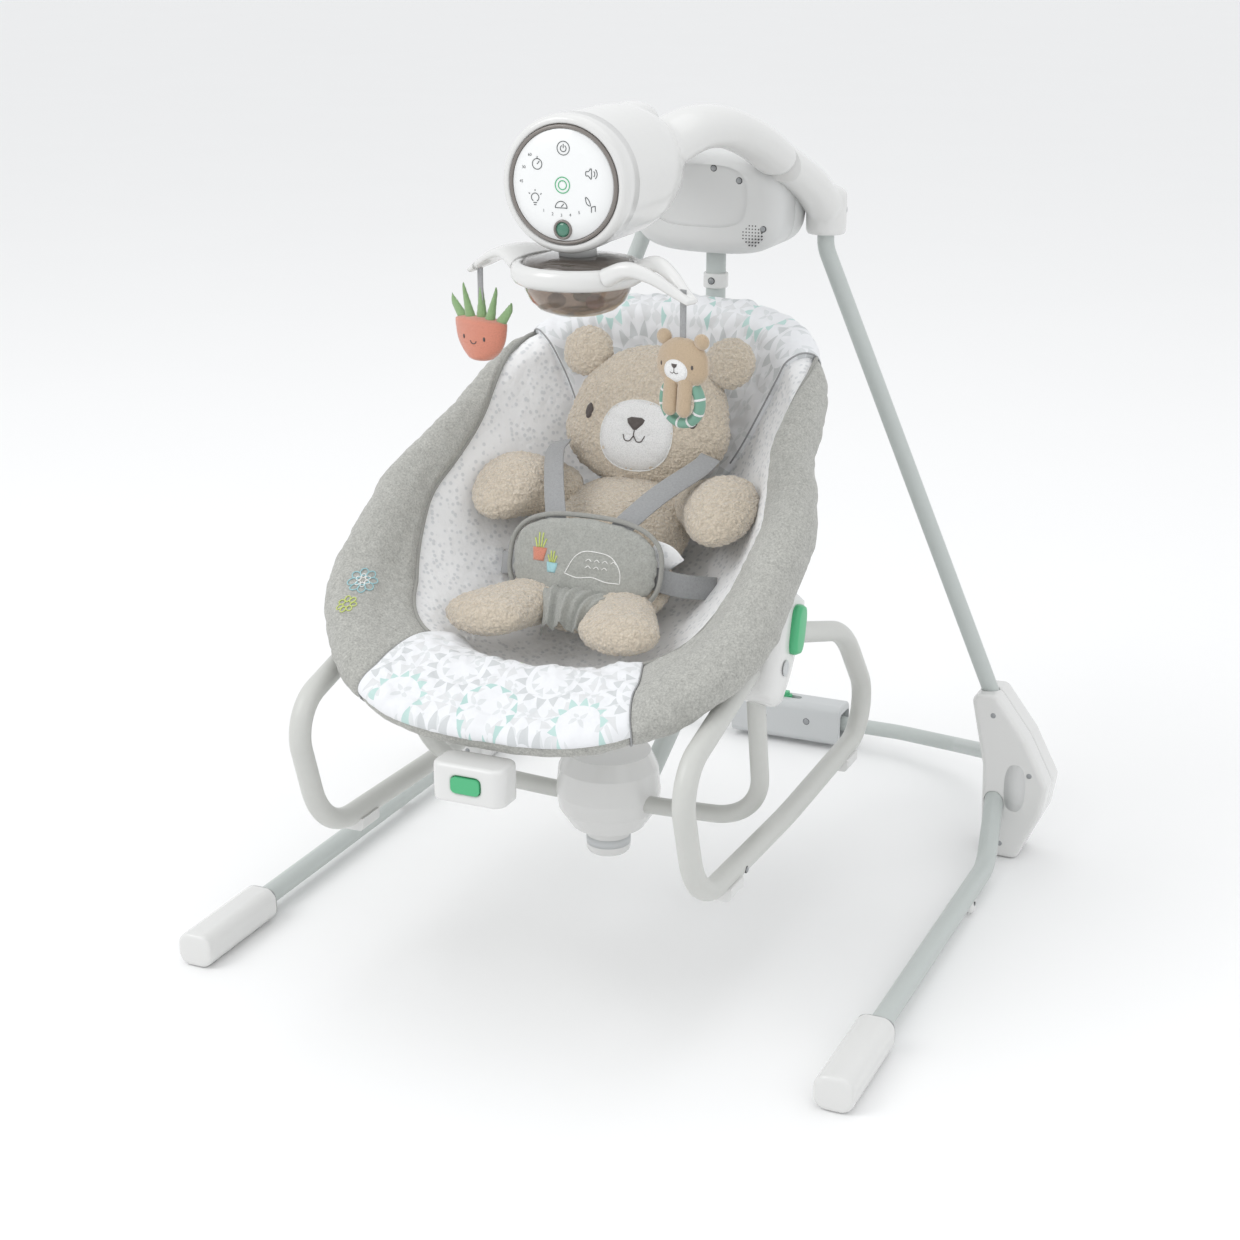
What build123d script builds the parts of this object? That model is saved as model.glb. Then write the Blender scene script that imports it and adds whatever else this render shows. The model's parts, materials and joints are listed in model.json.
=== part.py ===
from build123d import *
import os
from math import cos, pi, radians, sin

os.makedirs("parts", exist_ok=True)

# Baby swing, millimetres, +Z up. The origin is on the floor, midway along and across the footprint.
# The swing faces -Y. Stations along Y below are measured from DATUM_Y, which save() moves to the origin.

DATUM_Y = 82.75            # station of the footprint's middle

# --- tubes -------------------------------------------------------------------------------------
FLOOR_TUBE = 22.2          # outer diameters
UPRIGHT_TUBE = 19.0
BAR_TUBE = 19.0
HANGER_TUBE = 22.2
RUNNER_TUBE = 22.2
CROSS_TUBE = 19.0
SEAT_WIRE = 9.0
WALL = 1.5                 # wall of every tube
SHELL = 3.0                # wall of every moulded casing
FIT = 0.05                 # radial clearance of a running fit
GAP = 0.6                  # gap between parts that pass each other

# --- stand -------------------------------------------------------------------------------------
LEG_X = 355.0              # floor tube, from the centre line
LEG_Z = 20.0
FOOT_FRONT, FOOT_REAR = -337.0, -207.0
FOOT_WIDTH, FOOT_HEIGHT = 41.0, 37.0
PIVOT_X, PIVOT_Y = 111.0, 290.0          # upright axis in the head: each leg turns about it
UPRIGHT_TOP, UPRIGHT_BEND = 742.0, 700.0
HUB_X, HUB_Y, HUB_DEPTH = 345.0, 305.0, 56.0
BAR_PIVOT = (332.0, 348.0, 100.0)        # rear bar to hub
BOX_Y, BOX_Z = 530.0, 33.0               # latch box
BOX_SIZE = (152.0, 42.0, 54.0)
BOX_PIVOT_X = 60.0

# --- head --------------------------------------------------------------------------------------
BARREL_Z, BARREL_R, BARREL_FRONT = 818.0, 65.0, -160.0
PANEL_R, RING_R = 51.5, 57.0
ARM_HALF = (25.0, 21.0)                  # half width and half height of an arm's section
SEAM_Y = 205.0
MOTOR_BOX = (176.0, 104.0, 98.0)
MOTOR_Y, MOTOR_Z = 249.0, 751.0
SWING_Y, SWING_Z = 238.0, 765.0          # swing axle and hanger
BUSHES = ((206.0, 218.0), (268.0, 284.0))
PINION_X, PINION_Z = -38.0, 752.5

# --- mobile ------------------------------------------------------------------------------------
MOBILE_Y, MOBILE_Z = -128.0, 731.0
MOBILE_R, MOBILE_REACH, MOBILE_TURN = 65.0, 142.0, -16.0
TIP_Z = 717.0
HOOK_Z, HOOK_PIN = 717.5, 2.0            # pin that each toy's strap hangs on

# --- rocker and dock ---------------------------------------------------------------------------
DOCK_Y = -58.0
RUNNER_X = 205.0
RUNNER_Z = 168.0
HUB_C = (-130.0, 380.0)                  # recline axis: station and height
HUB_R = 36.0
SEAT_LIMIT_R = 40.0                      # pocket in the seat's side round each recline hub

# --- seat --------------------------------------------------------------------------------------
RIM_TILT = 31.0
RIM_CENTRE = (-83.0, 485.0)
RIM_HALF = (316.0, 236.0)
BUCKET_DEPTH = 128.0


def save(name, *solids):
    """Write one node, moved from DATUM_Y to the origin, as its separate solids."""
    moved = [Pos(0, -DATUM_Y, 0) * one for shape in solids for one in shape.solids()]
    moved = [one for one in moved if one.volume > 1.0]
    whole = moved[0] if len(moved) == 1 else Compound(children=moved)
    whole.label = name
    export_step(whole, f"parts/{name}.step")


def save_pair(name, right):
    """Write a right-hand node and its mirror image."""
    save(name + "_right", right)
    save(name + "_left", mirror(right, about=Plane.YZ))


def tube(points, radii, diameter, wall=WALL):
    """A bent tube, or a bent rod where wall is None."""
    path = FilletPolyline(*points, radius=radii) if radii else Line(*points)
    section = Circle(diameter / 2)
    if wall:
        section -= Circle(diameter / 2 - wall)
    return sweep(Plane(origin=path @ 0, z_dir=path % 0) * section, path=path)


def rod(start, end, diameter):
    """A straight round bar between two points."""
    return tube([start, end], None, diameter, None)


def block(centre, size, radius=0.0, axis=Axis.Z):
    """A box whose edges along one axis are rounded."""
    body = Pos(*centre) * Box(*size)
    return fillet(body.edges().filter_by(axis), radius) if radius else body


def pebble(centre, size, radius):
    """A box with every edge rounded."""
    body = Pos(*centre) * Box(*size)
    return fillet(body.edges(), radius)


def disc_x(x0, x1, y, z, radius):
    """A disc with its axis along X."""
    return rod((x0, y, z), (x1, y, z), 2 * radius)


def disc_y(y0, y1, x, z, radius):
    """A disc with its axis along Y."""
    return rod((x, y0, z), (x, y1, z), 2 * radius)


def disc_z(z0, z1, x, y, radius):
    """A disc with its axis along Z."""
    return rod((x, y, z0), (x, y, z1), 2 * radius)


def turned(profile):
    """A solid of revolution about Z from a closed outline of (radius, height) points."""
    face = make_face(Polyline(*[(r, 0, z) for r, z in profile], close=True))
    return revolve(face, axis=Axis.Z)


# ================================================================================ stand: one leg

def floor_tube_path():
    return [(LEG_X, FOOT_FRONT + 12, LEG_Z), (LEG_X, 205, LEG_Z), (HUB_X - 5, 292, 78)]


def upright_path():
    return [(PIVOT_X, PIVOT_Y, UPRIGHT_TOP), (PIVOT_X, PIVOT_Y, UPRIGHT_BEND), (HUB_X, HUB_Y, 150)]


def floor_tube(wall=WALL):
    return tube(floor_tube_path(), [70], FLOOR_TUBE, wall)


def upright(wall=WALL):
    return tube(upright_path(), [45], UPRIGHT_TUBE, wall)


def foot_cap():
    """Crowned cap over the front end of a floor tube."""
    section = RectangleRounded(FOOT_WIDTH, FOOT_HEIGHT, 14)
    length = FOOT_REAR - FOOT_FRONT
    rear = Plane(origin=(LEG_X, FOOT_REAR, FOOT_HEIGHT / 2), x_dir=(1, 0, 0), z_dir=(0, -1, 0))
    body = rear * extrude(section, length)
    body = fillet(body.faces().sort_by(Axis.Y)[0].edges(), 4)
    return body - floor_tube(None)


def hub_outline(inset):
    """Outline of a hub casing in the XZ plane: a sleeve above, a wide toe below."""
    points = [(308, 198), (338, 200), (376, 150), (404, 96), (398, 58), (380, 20), (372, 0),
              (330, 0), (328, 40), (326, 112)]
    face = make_face(Polyline(*points, close=True))
    face = fillet(face.vertices(), 9)
    return offset(face, -inset, kind=Kind.INTERSECTION) if inset else face


def hub_casing():
    """Both halves of a hub casing, hollow, with the tubes' sockets and the rear bar's lugs."""
    plane = Plane(origin=(0, HUB_Y + HUB_DEPTH / 2, 0), x_dir=(1, 0, 0), z_dir=(0, -1, 0))
    inner = Plane(origin=(0, HUB_Y + HUB_DEPTH / 2 - SHELL, 0), x_dir=(1, 0, 0), z_dir=(0, -1, 0))
    outer = extrude(plane * hub_outline(0), HUB_DEPTH)
    outer = fillet(outer.faces().sort_by(Axis.Y)[0].edges(), 6)
    hollow = extrude(inner * hub_outline(SHELL), HUB_DEPTH - 2 * SHELL)
    x, y, z = BAR_PIVOT
    lugs = [block((x, y - 5, z + side * 20), (26, 32, 6), 9) for side in (-1, 1)]
    return outer - hollow + lugs + bar_pin() - floor_tube(None) - upright(None)


def bar_pin():
    """Pin between a hub's lugs that the rear bar turns on."""
    x, y, z = BAR_PIVOT
    return disc_z(z - 22, z + 22, x, y, 4)


def hub_halves():
    casing = hub_casing()
    seam = Plane(origin=(0, HUB_Y, 0), z_dir=(0, -1, 0))
    front = split(casing, bisect_by=seam, keep=Keep.TOP)
    rear = split(casing, bisect_by=seam, keep=Keep.BOTTOM)
    return front, rear


# ================================================================================ stand: rear bar

def bar_path():
    x, y, z = BAR_PIVOT
    return [(x, y, z), (238, 492, 44), (150, BOX_Y, BOX_Z), (BOX_PIVOT_X, BOX_Y, BOX_Z)]


def rear_bar():
    """Half of the rear bar, with an upright eye at each end."""
    x, y, z = BAR_PIVOT
    path = bar_path()
    start = Vector(*path[0]) + (Vector(*path[1]) - Vector(*path[0])).normalized() * 8
    body = tube([tuple(start), *path[1:3], (BOX_PIVOT_X + 2, BOX_Y, BOX_Z)], [60, 60], BAR_TUBE)
    eye = disc_z(z - 16.4, z + 16.4, x, y, 11) - disc_z(z - 20, z + 20, x, y, 4 + FIT)
    centre = (BOX_PIVOT_X, BOX_Y)
    end = disc_z(BOX_Z - 9, BOX_Z + 9, *centre, 10) - disc_z(BOX_Z - 20, BOX_Z + 20, *centre, 4 + FIT)
    return body - disc_z(z - 30, z + 30, x, y, 11) + eye - disc_z(0, 60, *centre, 10) + end


def latch_box():
    """Hollow housing that joins the two halves of the rear bar, open at both ends."""
    width, depth, height = BOX_SIZE
    body = block((0, BOX_Y, BOX_Z), BOX_SIZE, 10, Axis.X)
    body = fillet(body.faces().filter_by(Axis.X).edges(), 3)
    hollow = block((0, BOX_Y, BOX_Z), (width + 2, depth - 2 * SHELL, 34), 6, Axis.X)
    core = block((0, BOX_Y, BOX_Z), (30, depth, 36))
    slot = block((-6, BOX_Y, BOX_Z + height / 2), (44, 10, 12), 4.9)
    pin = disc_z(BOX_Z - 20, BOX_Z + 20, BOX_PIVOT_X, BOX_Y, 4)
    return body - (hollow - core) - slot + pin


def latch_slider():
    """Sliding catch in the slot on top of the latch box."""
    top = BOX_Z + BOX_SIZE[2] / 2
    stem = block((-12, BOX_Y, top - 1.5), (28, 10 - GAP, 7), 4)
    thumb = block((-12, BOX_Y, top + 3.5), (20, 9, 5.0), 2)
    return stem + thumb


# ================================================================================ head

def barrel_profile(inset):
    r = BARREL_R - inset
    front, rear = BARREL_FRONT + inset, 44 - inset
    rim = [(0, front), (r - 6, front), (r, front + 7), (r, -55)]
    steps = 8
    tail = [(r * cos(k * pi / 2 / steps), -55 + (rear + 55) * sin(k * pi / 2 / steps))
            for k in range(1, steps)]
    return rim + tail + [(0, rear)]


def barrel(inset=0):
    """Round drum at the front of the head, closed behind."""
    face = make_face(Polyline(*[(r, y, 0) for r, y in barrel_profile(inset)], close=True))
    return Pos(0, 0, BARREL_Z) * revolve(face, axis=Axis.Y)


def barrel_shell():
    mouth = disc_y(BARREL_FRONT - 1, BARREL_FRONT + 12, 0, BARREL_Z, RING_R)
    axle = disc_z(700, 800, 0, MOBILE_Y, 4 + FIT)
    return barrel() - barrel(SHELL) - mouth - axle


def bezel_ring():
    ring = disc_y(BARREL_FRONT, BARREL_FRONT + 8, 0, BARREL_Z, RING_R - 0.1)
    return ring - disc_y(BARREL_FRONT - 1, BARREL_FRONT + 9, 0, BARREL_Z, PANEL_R)


def control_panel():
    panel = disc_y(BARREL_FRONT + 1.5, BARREL_FRONT + 6, 0, BARREL_Z, PANEL_R - 0.1)
    return panel - lens_blank(0.1)


def lens_blank(grow):
    height = BARREL_Z - 42
    return disc_y(BARREL_FRONT + 0.5, BARREL_FRONT + 8, 0, height, 8 + grow)


def arm_path():
    return [(20, -12, 800), (48, 104, 856), (80, SEAM_Y, 806), (PIVOT_X, PIVOT_Y, 742)]


def arm_sweep(shrink):
    """Whole arm from the barrel to the upright, as an elliptical beam."""
    path = FilletPolyline(*arm_path(), radius=[110, 150])
    half_w, half_h = ARM_HALF
    section = Plane(origin=path @ 0, x_dir=(1, 0, 0), z_dir=path % 0) * \
        Ellipse(half_w - shrink, half_h - shrink)
    return sweep(section, path=path)


def arm_solid():
    end = fillet(disc_z(714, 768, PIVOT_X, PIVOT_Y, 23).edges(), 6)
    return arm_sweep(0) + end


def arm_halves():
    """The hollow front part of an arm, and the solid socket behind its seam."""
    seam = Plane(origin=(0, SEAM_Y, 0), z_dir=(0, 1, 0))
    whole = arm_solid() - barrel()
    front = split(whole, bisect_by=seam, keep=Keep.BOTTOM) - arm_sweep(SHELL)
    front = front & block((60, 60, 800), (118, 400, 300))
    socket = split(whole, bisect_by=seam, keep=Keep.TOP)
    bore = disc_z(700, UPRIGHT_TOP + GAP, PIVOT_X, PIVOT_Y, UPRIGHT_TUBE / 2 + FIT)
    return front, socket - bore


def motor_shape(inset):
    width, depth, height = MOTOR_BOX
    size = (width - 2 * inset, depth - 2 * inset, height - 2 * inset)
    return block((0, MOTOR_Y, MOTOR_Z), size, 22 - inset)


def motor_housing(arms):
    """Hollow housing under the arms, in a front and a rear half."""
    mouth = block((0, SWING_Y, 702), (58, 34, 30), 8)
    recess = block((-6, MOTOR_Y - MOTOR_BOX[1] / 2, 760), (112, 8, 66), 20, Axis.Y)
    shell = motor_shape(0) - motor_shape(SHELL) - mouth
    shell -= recess - motor_shape(SHELL)
    floor = block((0, MOTOR_Y - MOTOR_BOX[1] / 2 + 5.6, 760), (118, SHELL, 72), 20, Axis.Y)
    shell += floor & motor_shape(0)
    for arm in arms:
        shell -= arm
    for y0, y1 in BUSHES:
        boss = disc_y(y0, y1, 0, SWING_Z, 11)
        shell += boss - disc_y(y0 - 5, y1 + 5, 0, SWING_Z, 8)
        shell += block((0, (y0 + y1) / 2, SWING_Z + 20), (8, 8, 26)) - disc_y(y0 - 5, y1 + 5, 0, SWING_Z, 8)
    seam = Plane(origin=(0, MOTOR_Y, 0), z_dir=(0, 1, 0))
    return split(shell, bisect_by=seam, keep=Keep.BOTTOM), split(shell, bisect_by=seam, keep=Keep.TOP)


# ================================================================================ drive

def bush(y0, y1):
    """Bearing bush of the swing axle."""
    return disc_y(y0, y1, 0, SWING_Z, 8) - disc_y(y0 - 1, y1 + 1, 0, SWING_Z, 5 + FIT)


def gear(y0, y1, x, z, teeth, tip_r, tooth):
    """A spur gear with square-cut teeth, its axis along Y."""
    body = disc_y(y0, y1, x, z, tip_r - tooth)
    width = 2 * pi * tip_r / teeth * 0.42
    for k in range(teeth):
        tooth_block = Box(width, y1 - y0, tooth * 2)
        angle = 360 * k / teeth
        body += Pos(x, (y0 + y1) / 2, z) * Rot(0, angle, 0) * Pos(0, 0, tip_r - tooth) * tooth_block
    return body


def swing_axle():
    return disc_y(207, 283, 0, SWING_Z, 5)


def hanger_yoke():
    """Clamp block that joins the axle to the top of the hanger tube."""
    body = block((0, SWING_Y, SWING_Z - 14), (34, 32, 52), 6)
    return body - swing_axle() - hanger_tube(None)


def hanger_tube(wall=WALL):
    points = [(0, SWING_Y, 752), (0, SWING_Y, 232), (0, 8, 104), (0, DOCK_Y, 104)]
    return tube(points, [120, 110], HANGER_TUBE, wall)


def hanger_collar():
    collar = disc_z(655, 672, 0, SWING_Y, 14)
    return fillet(collar.edges(), 2) - hanger_tube(None)


def dock_cup():
    """Cup on the hanger's front end that the seat's base sits on."""
    cup = disc_z(86, 118, 0, DOCK_Y, 24)
    cup = fillet(cup.edges().sort_by(Axis.Z)[0], 6)
    return cup - hanger_tube(None)


# ================================================================================ mobile

def mobile_arm(side):
    """Arm from the ring to a toy's hook: closed on the left, an open loop on the right."""
    reach = MOBILE_REACH
    outline = [(side * 58, -17), (side * (reach - 12), -9), (side * reach, 0),
               (side * (reach - 12), 9), (side * 58, 17)]
    drop = (MOBILE_Z - TIP_Z)
    face = fillet(make_face(Polyline(*outline, close=True)).vertices(), 3)
    if side > 0:
        face -= make_face(Polyline((68, -9), (110, -4), (110, 4), (68, 9), close=True))
    face -= Pos(side * (reach - 9.3), 0) * SlotCenterToCenter(6.5, 5.6, rotation=90)
    tilt = Rot(0, side * 9.2, 0)
    arm = Pos(0, 0, MOBILE_Z + drop * 0.55) * tilt * extrude(face, 5, both=True)
    return arm - disc_z(600, 900, 0, 0, MOBILE_R - 4)


def mobile_ring():
    ring = turned([(54.5, 722), (62, 722), (65, 727), (65, 735), (61, 740), (54.5, 740)])
    pins = [rod((side * 127, 0, HOOK_Z), (side * 135, 0, HOOK_Z), HOOK_PIN) for side in (-1, 1)]
    whole = ring + mobile_arm(1) + mobile_arm(-1) + pins
    return Pos(0, MOBILE_Y, 0) * Rot(0, 0, MOBILE_TURN) * whole


def arc_profile(radius, top, depth, steps=8):
    """Points of a bowl's outline from its rim down to its bottom."""
    return [(radius * cos(k * pi / 2 / steps), top - depth * sin(k * pi / 2 / steps))
            for k in range(steps)] + [(0, top - depth)]


def mobile_bowl():
    """Smoky bowl in the ring, closed by its lid, with the axle it turns on."""
    outside = arc_profile(54.3, 736, 45)
    inside = list(reversed(arc_profile(51.8, 736, 42.5)))
    body = turned(outside + inside)
    lid = turned([(3, 735), (54.3, 736), (50, 744), (3, 744)])
    axle = disc_z(740, 772, 0, 0, 4)
    return Pos(0, MOBILE_Y, 0) * (body + lid + axle)


def hook_point(side):
    """Where a toy hangs from its arm."""
    angle = radians(MOBILE_TURN)
    reach = side * (MOBILE_REACH - 11)
    return reach * cos(angle), MOBILE_Y + reach * sin(angle)


def toy_strap(side, bottom):
    x, y = hook_point(side)
    strap = block((0, 0, (TIP_Z + 12 + bottom) / 2), (7, 1.6, TIP_Z + 12 - bottom))
    strap -= rod((0, -5, HOOK_Z), (0, 5, HOOK_Z), HOOK_PIN + 2 * FIT)
    return Pos(x, y, 0) * Rot(0, 0, MOBILE_TURN) * Rot(0, 0, 90) * strap


def plush_plant():
    """Soft potted plant: a half-round pot with five pointed leaves."""
    x, y = hook_point(-1)
    pot = Pos(0, 0, 666) * Rot(90, 0, 0) * extrude(make_face([
        Line((-31, 6), (31, 6)), ThreePointArc((31, 6), (0, -40), (-31, 6))]), 10, both=True)
    pot = fillet(pot.edges(), 4)
    leaves = [Pos(dx, 0, 672) * Rot(0, lean, 0) * Pos(0, 0, height / 2) * Box(11, 9, height)
              for dx, lean, height in ((-18, -24, 24), (-9, -8, 30), (0, 0, 34), (9, 8, 30), (18, 24, 24))]
    whole = pot
    for leaf in leaves:
        whole += leaf
    return Pos(x, y, 0) * Rot(0, 0, MOBILE_TURN) * whole - toy_strap(-1, 690)


def plush_bear_toy():
    """Soft bear head with two arms that hold a ring."""
    x, y = hook_point(1)
    head = pebble((0, 0, 661), (58, 20, 44), 9)
    ears = [pebble((side * 24, 0, 684), (16, 10, 14), 4) for side in (-1, 1)]
    arms = [pebble((side * 8, 0, 634), (13, 14, 26), 6) for side in (-1, 1)]
    whole = head
    for extra in ears + arms:
        whole += extra
    return Pos(x, y, 0) * Rot(0, 0, MOBILE_TURN) * whole - toy_strap(1, 682) - teether_ring()


def teether_ring():
    """Segmented ring in the toy bear's arms."""
    x, y = hook_point(1)
    ring = disc_y(-6, 6, 0, 622, 26) - disc_y(-7, 7, 0, 622, 16)
    return Pos(x, y, 0) * Rot(0, 0, MOBILE_TURN) * ring


# ================================================================================ rocker

def base_housing():
    """Conical housing that drops over the dock and carries the cross tube."""
    profile = [(0, 119), (40, 119), (54, 140), (57, 158), (54, 186), (46, 204), (0, 204)]
    body = Pos(0, DOCK_Y, 0) * turned(profile)
    inside = [(0, 118), (36, 118), (50, 141), (53, 158), (50, 184), (43, 200), (0, 200)]
    shell = body - Pos(0, DOCK_Y, 0) * turned(inside)
    floor = disc_z(119, 123, 0, DOCK_Y, 37)
    return shell + floor - cross_tube(None)


def cross_tube(wall=WALL):
    y, z = HUB_C
    side = [(RUNNER_X, y - 34, z - 24), (192, -98, 172), (60, DOCK_Y - 14, 154)]
    mirrored = [(-px, py, pz) for px, py, pz in reversed(side)]
    return tube(side + mirrored, [78, 90, 90, 78], CROSS_TUBE, wall)


def runner(wall=WALL):
    """Closed rocker loop, with both ends in the recline hub."""
    y, z = HUB_C
    outline = [(y + 20, z + 2), (112, 314), (234, RUNNER_Z + 4), (-60, RUNNER_Z - 4),
               (-310, RUNNER_Z + 4), (-356, 318), (y - 20, z - 8)]
    points = [(RUNNER_X, py, pz) for py, pz in outline]
    return tube(points, [150, 42, 900, 80, 44], RUNNER_TUBE, wall)


def runner_pads():
    """Anti-slip pads under the front and rear of a runner."""
    pads = []
    for y in (-236, 120):
        pad = block((RUNNER_X, y, RUNNER_Z - 6), (26, 34, 20), 5, Axis.Y)
        pads.append(pad - runner(None) - block((RUNNER_X, y, RUNNER_Z + 8), (40, 60, 20)))
    return pads


def recline_hub():
    """Round housing at the runner's two ends, and the sleeve for the cross tube."""
    y, z = HUB_C
    body = disc_x(190, 232, y, z, HUB_R)
    body = fillet(body.edges().sort_by(Axis.X)[-1], 8)
    sleeve = rod((RUNNER_X, y - 25, z - 14), (RUNNER_X - 2.5, y - 42, z - 46), 27)
    pocket = lever_pocket(0)
    return body + recline_pin() + sleeve - runner(None) - cross_tube(None) - pocket


def recline_pin():
    y, z = HUB_C
    return disc_x(184.2, 212, y, z, 6)


def recline_plate():
    """Disc on the seat that turns on the hub's pin."""
    y, z = HUB_C
    plate = disc_x(184, 189.4, y, z, 30)
    return plate - disc_x(170, 220, y, z, 6 + FIT)


def lever_pocket(grow):
    y, z = HUB_C
    return block((227, y + 8, z + 14), (24 + grow, 20 + grow, 34 + grow), 6, Axis.X)


def recline_lever():
    """Push pad on the outside of the recline hub."""
    y, z = HUB_C
    pad = block((230, y + 8, z + 14), (18, 20 - GAP, 34 - GAP), 5.5, Axis.X)
    return fillet(pad.faces().sort_by(Axis.X)[-1].edges(), 3)


# ================================================================================ seat

def rim_plane(n):
    """Plane of the seat's rim, moved n along its own normal."""
    tilt = radians(RIM_TILT)
    y, z = RIM_CENTRE
    origin = (0, y - n * sin(tilt), z + n * cos(tilt))
    return Plane(origin=origin, x_dir=(1, 0, 0), z_dir=(0, -sin(tilt), cos(tilt)))


def oval(n, half_s, half_w, shift=0.0):
    return rim_plane(n) * Pos(0, shift) * Ellipse(half_w, half_s)


def bucket_outside():
    half_s, half_w = RIM_HALF
    return loft([oval(8, half_s - 14, half_w - 14), oval(-18, half_s, half_w),
                 oval(-70, half_s - 26, half_w - 34), oval(-BUCKET_DEPTH, half_s - 96, half_w - 100)])


def seat_bucket():
    """Padded bucket: hollow where the child lies, with pockets round the recline hubs."""
    hollow = loft([oval(9, 268, 184, 14), oval(-60, 232, 142, 20), oval(-104, 150, 96, 10)])
    body = bucket_outside() - hollow - seat_frame()
    y, z = HUB_C
    for side in (-1, 1):
        body -= disc_x(side * 183.8, side * 300, y, z, SEAT_LIMIT_R)
        body -= block((side * 258, -120, 340), (138, 500, 104))
    body -= block((0, -360, 288), (86, 60, 46))
    body -= block((0, 320, 500), (60, 196, 700))
    return body


def seat_frame():
    """Bent wire that carries the seat's rim."""
    half_s, half_w = RIM_HALF
    centre = oval(-16, half_s - 15, half_w - 15)
    path = centre.edges()[0]
    section = Plane(origin=path @ 0, z_dir=path % 0) * Circle(SEAT_WIRE / 2)
    return sweep(section, path=path)


def seat_point(s, n, x=0.0):
    """A point given along the rim, above the rim's plane and across."""
    plane = rim_plane(n)
    origin = plane.origin + plane.y_dir * s
    return (x, origin.Y, origin.Z)


def soft_block(s, n, x, size, radius):
    """A rounded block that lies square to the seat's rim."""
    plane = Plane(origin=seat_point(s, n, x), x_dir=(1, 0, 0), z_dir=rim_plane(0).z_dir)
    return plane * fillet(Box(*size).edges(), radius)


def bear_head():
    head = soft_block(132, -14, 0, (160, 132, 56), 24)
    ears = [soft_block(206, -10, side * 66, (44, 38, 26), 11) for side in (-1, 1)]
    return head + ears[0] + ears[1]


def bear_body():
    torso = soft_block(-14, -68, 0, (150, 200, 40), 18)
    arms = [soft_block(34, -36, side * 112, (54, 96, 30), 13) for side in (-1, 1)]
    legs = [soft_block(-134, -46, side * 62, (78, 62, 44), 19) for side in (-1, 1)]
    body = torso
    for limb in arms + legs:
        body += limb
    return body - bear_head() - bucket_blank() - waist_pad() - disc_y(-110, -88, 0, 424, 9.6)


def bucket_blank():
    """The bucket before its small cut-outs, slightly grown, to clear soft pieces inside it."""
    hollow = loft([oval(9.5, 267, 183, 14), oval(-60, 231, 141, 20), oval(-103, 149, 95, 10)])
    return bucket_outside() - hollow


def waist_pad():
    plane = Plane(origin=(0, -118, 431), x_dir=(1, 0, 0), z_dir=(0, -0.956, 0.292))
    return plane * fillet(extrude(RectangleRounded(152, 86, 38), 20).edges(), 7)


def strap(start, end, width, facing):
    """A flat strap, 2 mm thick, between two points."""
    a, b = Vector(*start), Vector(*end)
    along = (b - a).normalized()
    across = along.cross(Vector(*facing)).normalized()
    plane = Plane(origin=tuple((a + b) * 0.5), x_dir=tuple(along),
                  z_dir=tuple(across.cross(along)))
    return plane * Box((b - a).length, width, 2)


def harness():
    """Two shoulder straps, two waist straps and the crotch strap."""
    up = (0, -0.8, 0.6)
    pieces = []
    for side in (-1, 1):
        pieces.append(strap((side * 80, -16, 506), (side * 34, -110, 464), 22, up))
        pieces.append(strap((side * 72, -121, 426), (side * 108, -96, 418), 22, (0, -1, 0)))
    pieces.append(strap((0, -130, 392), (0, -168, 366), 40, (0, -1, 0.4)))
    blocked = waist_pad() + bear_body() + bear_head() + bucket_blank()
    return [piece - blocked for piece in pieces]


def buckle():
    body = pebble((0, -98, 424), (46, 14, 34), 3)
    return body - disc_y(-120, -93, 0, 424, 9 + FIT) - waist_pad() - bear_body()


def buckle_button():
    return disc_y(-104, -98, 0, 424, 9)


def vibration_unit():
    body = block((0, -364, 288), (76, 40, 38), 12)
    body = fillet(body.faces().sort_by(Axis.Z)[-1].edges(), 4)
    inside = block((0, -362, 288), (68, 30, 30), 8)
    return body - inside - block((0, -384, 288), (31, 14, 17), 5, Axis.Y)


def vibration_button():
    return block((0, -381, 288), (30, 9, 16), 4.6, Axis.Y)


# ================================================================================ build

def build_stand():
    save_pair("floor_tube", floor_tube())
    save_pair("upright", upright())
    save_pair("foot_cap", foot_cap())
    front, rear = hub_halves()
    save_pair("hub_front_shell", front)
    save_pair("hub_rear_shell", rear)
    bar = rear_bar()
    save("rear_bar_right", bar)
    save("rear_bar_left", mirror(bar, about=Plane.YZ) - block((-BOX_PIVOT_X + 8, BOX_Y, BOX_Z), (26, 30, 30)))
    save("latch_box", latch_box())
    save("latch_slider", latch_slider())


def build_head():
    save("barrel_shell", barrel_shell())
    save("bezel_ring", bezel_ring())
    save("control_panel", control_panel())
    save("panel_lens", lens_blank(0))
    front, socket = arm_halves()
    save_pair("head_arm", front)
    save_pair("arm_socket", socket)
    whole = arm_solid()
    box_front, box_rear = motor_housing([whole, mirror(whole, about=Plane.YZ)])
    save("motor_housing_front", box_front)
    save("motor_housing_rear", box_rear)
    save("axle_bushes", *[bush(y0, y1) for y0, y1 in BUSHES])
    save("circuit_board", disc_y(BARREL_FRONT + 14, BARREL_FRONT + 16, 0, BARREL_Z, 46))
    save("mobile_motor", disc_z(776, 806, 0, MOBILE_Y, 12))
    save("drive_motor", disc_y(222, 262, PINION_X, PINION_Z, 11))
    save("drive_pinion", gear(263.5, 267, PINION_X, PINION_Z, 12, 9.6, 1.6))
    cells = [disc_y(222, 272, side * 66, z, 13) for side in (-1, 1) for z in (720, 748)]
    save("battery_cells", *cells)


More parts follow.
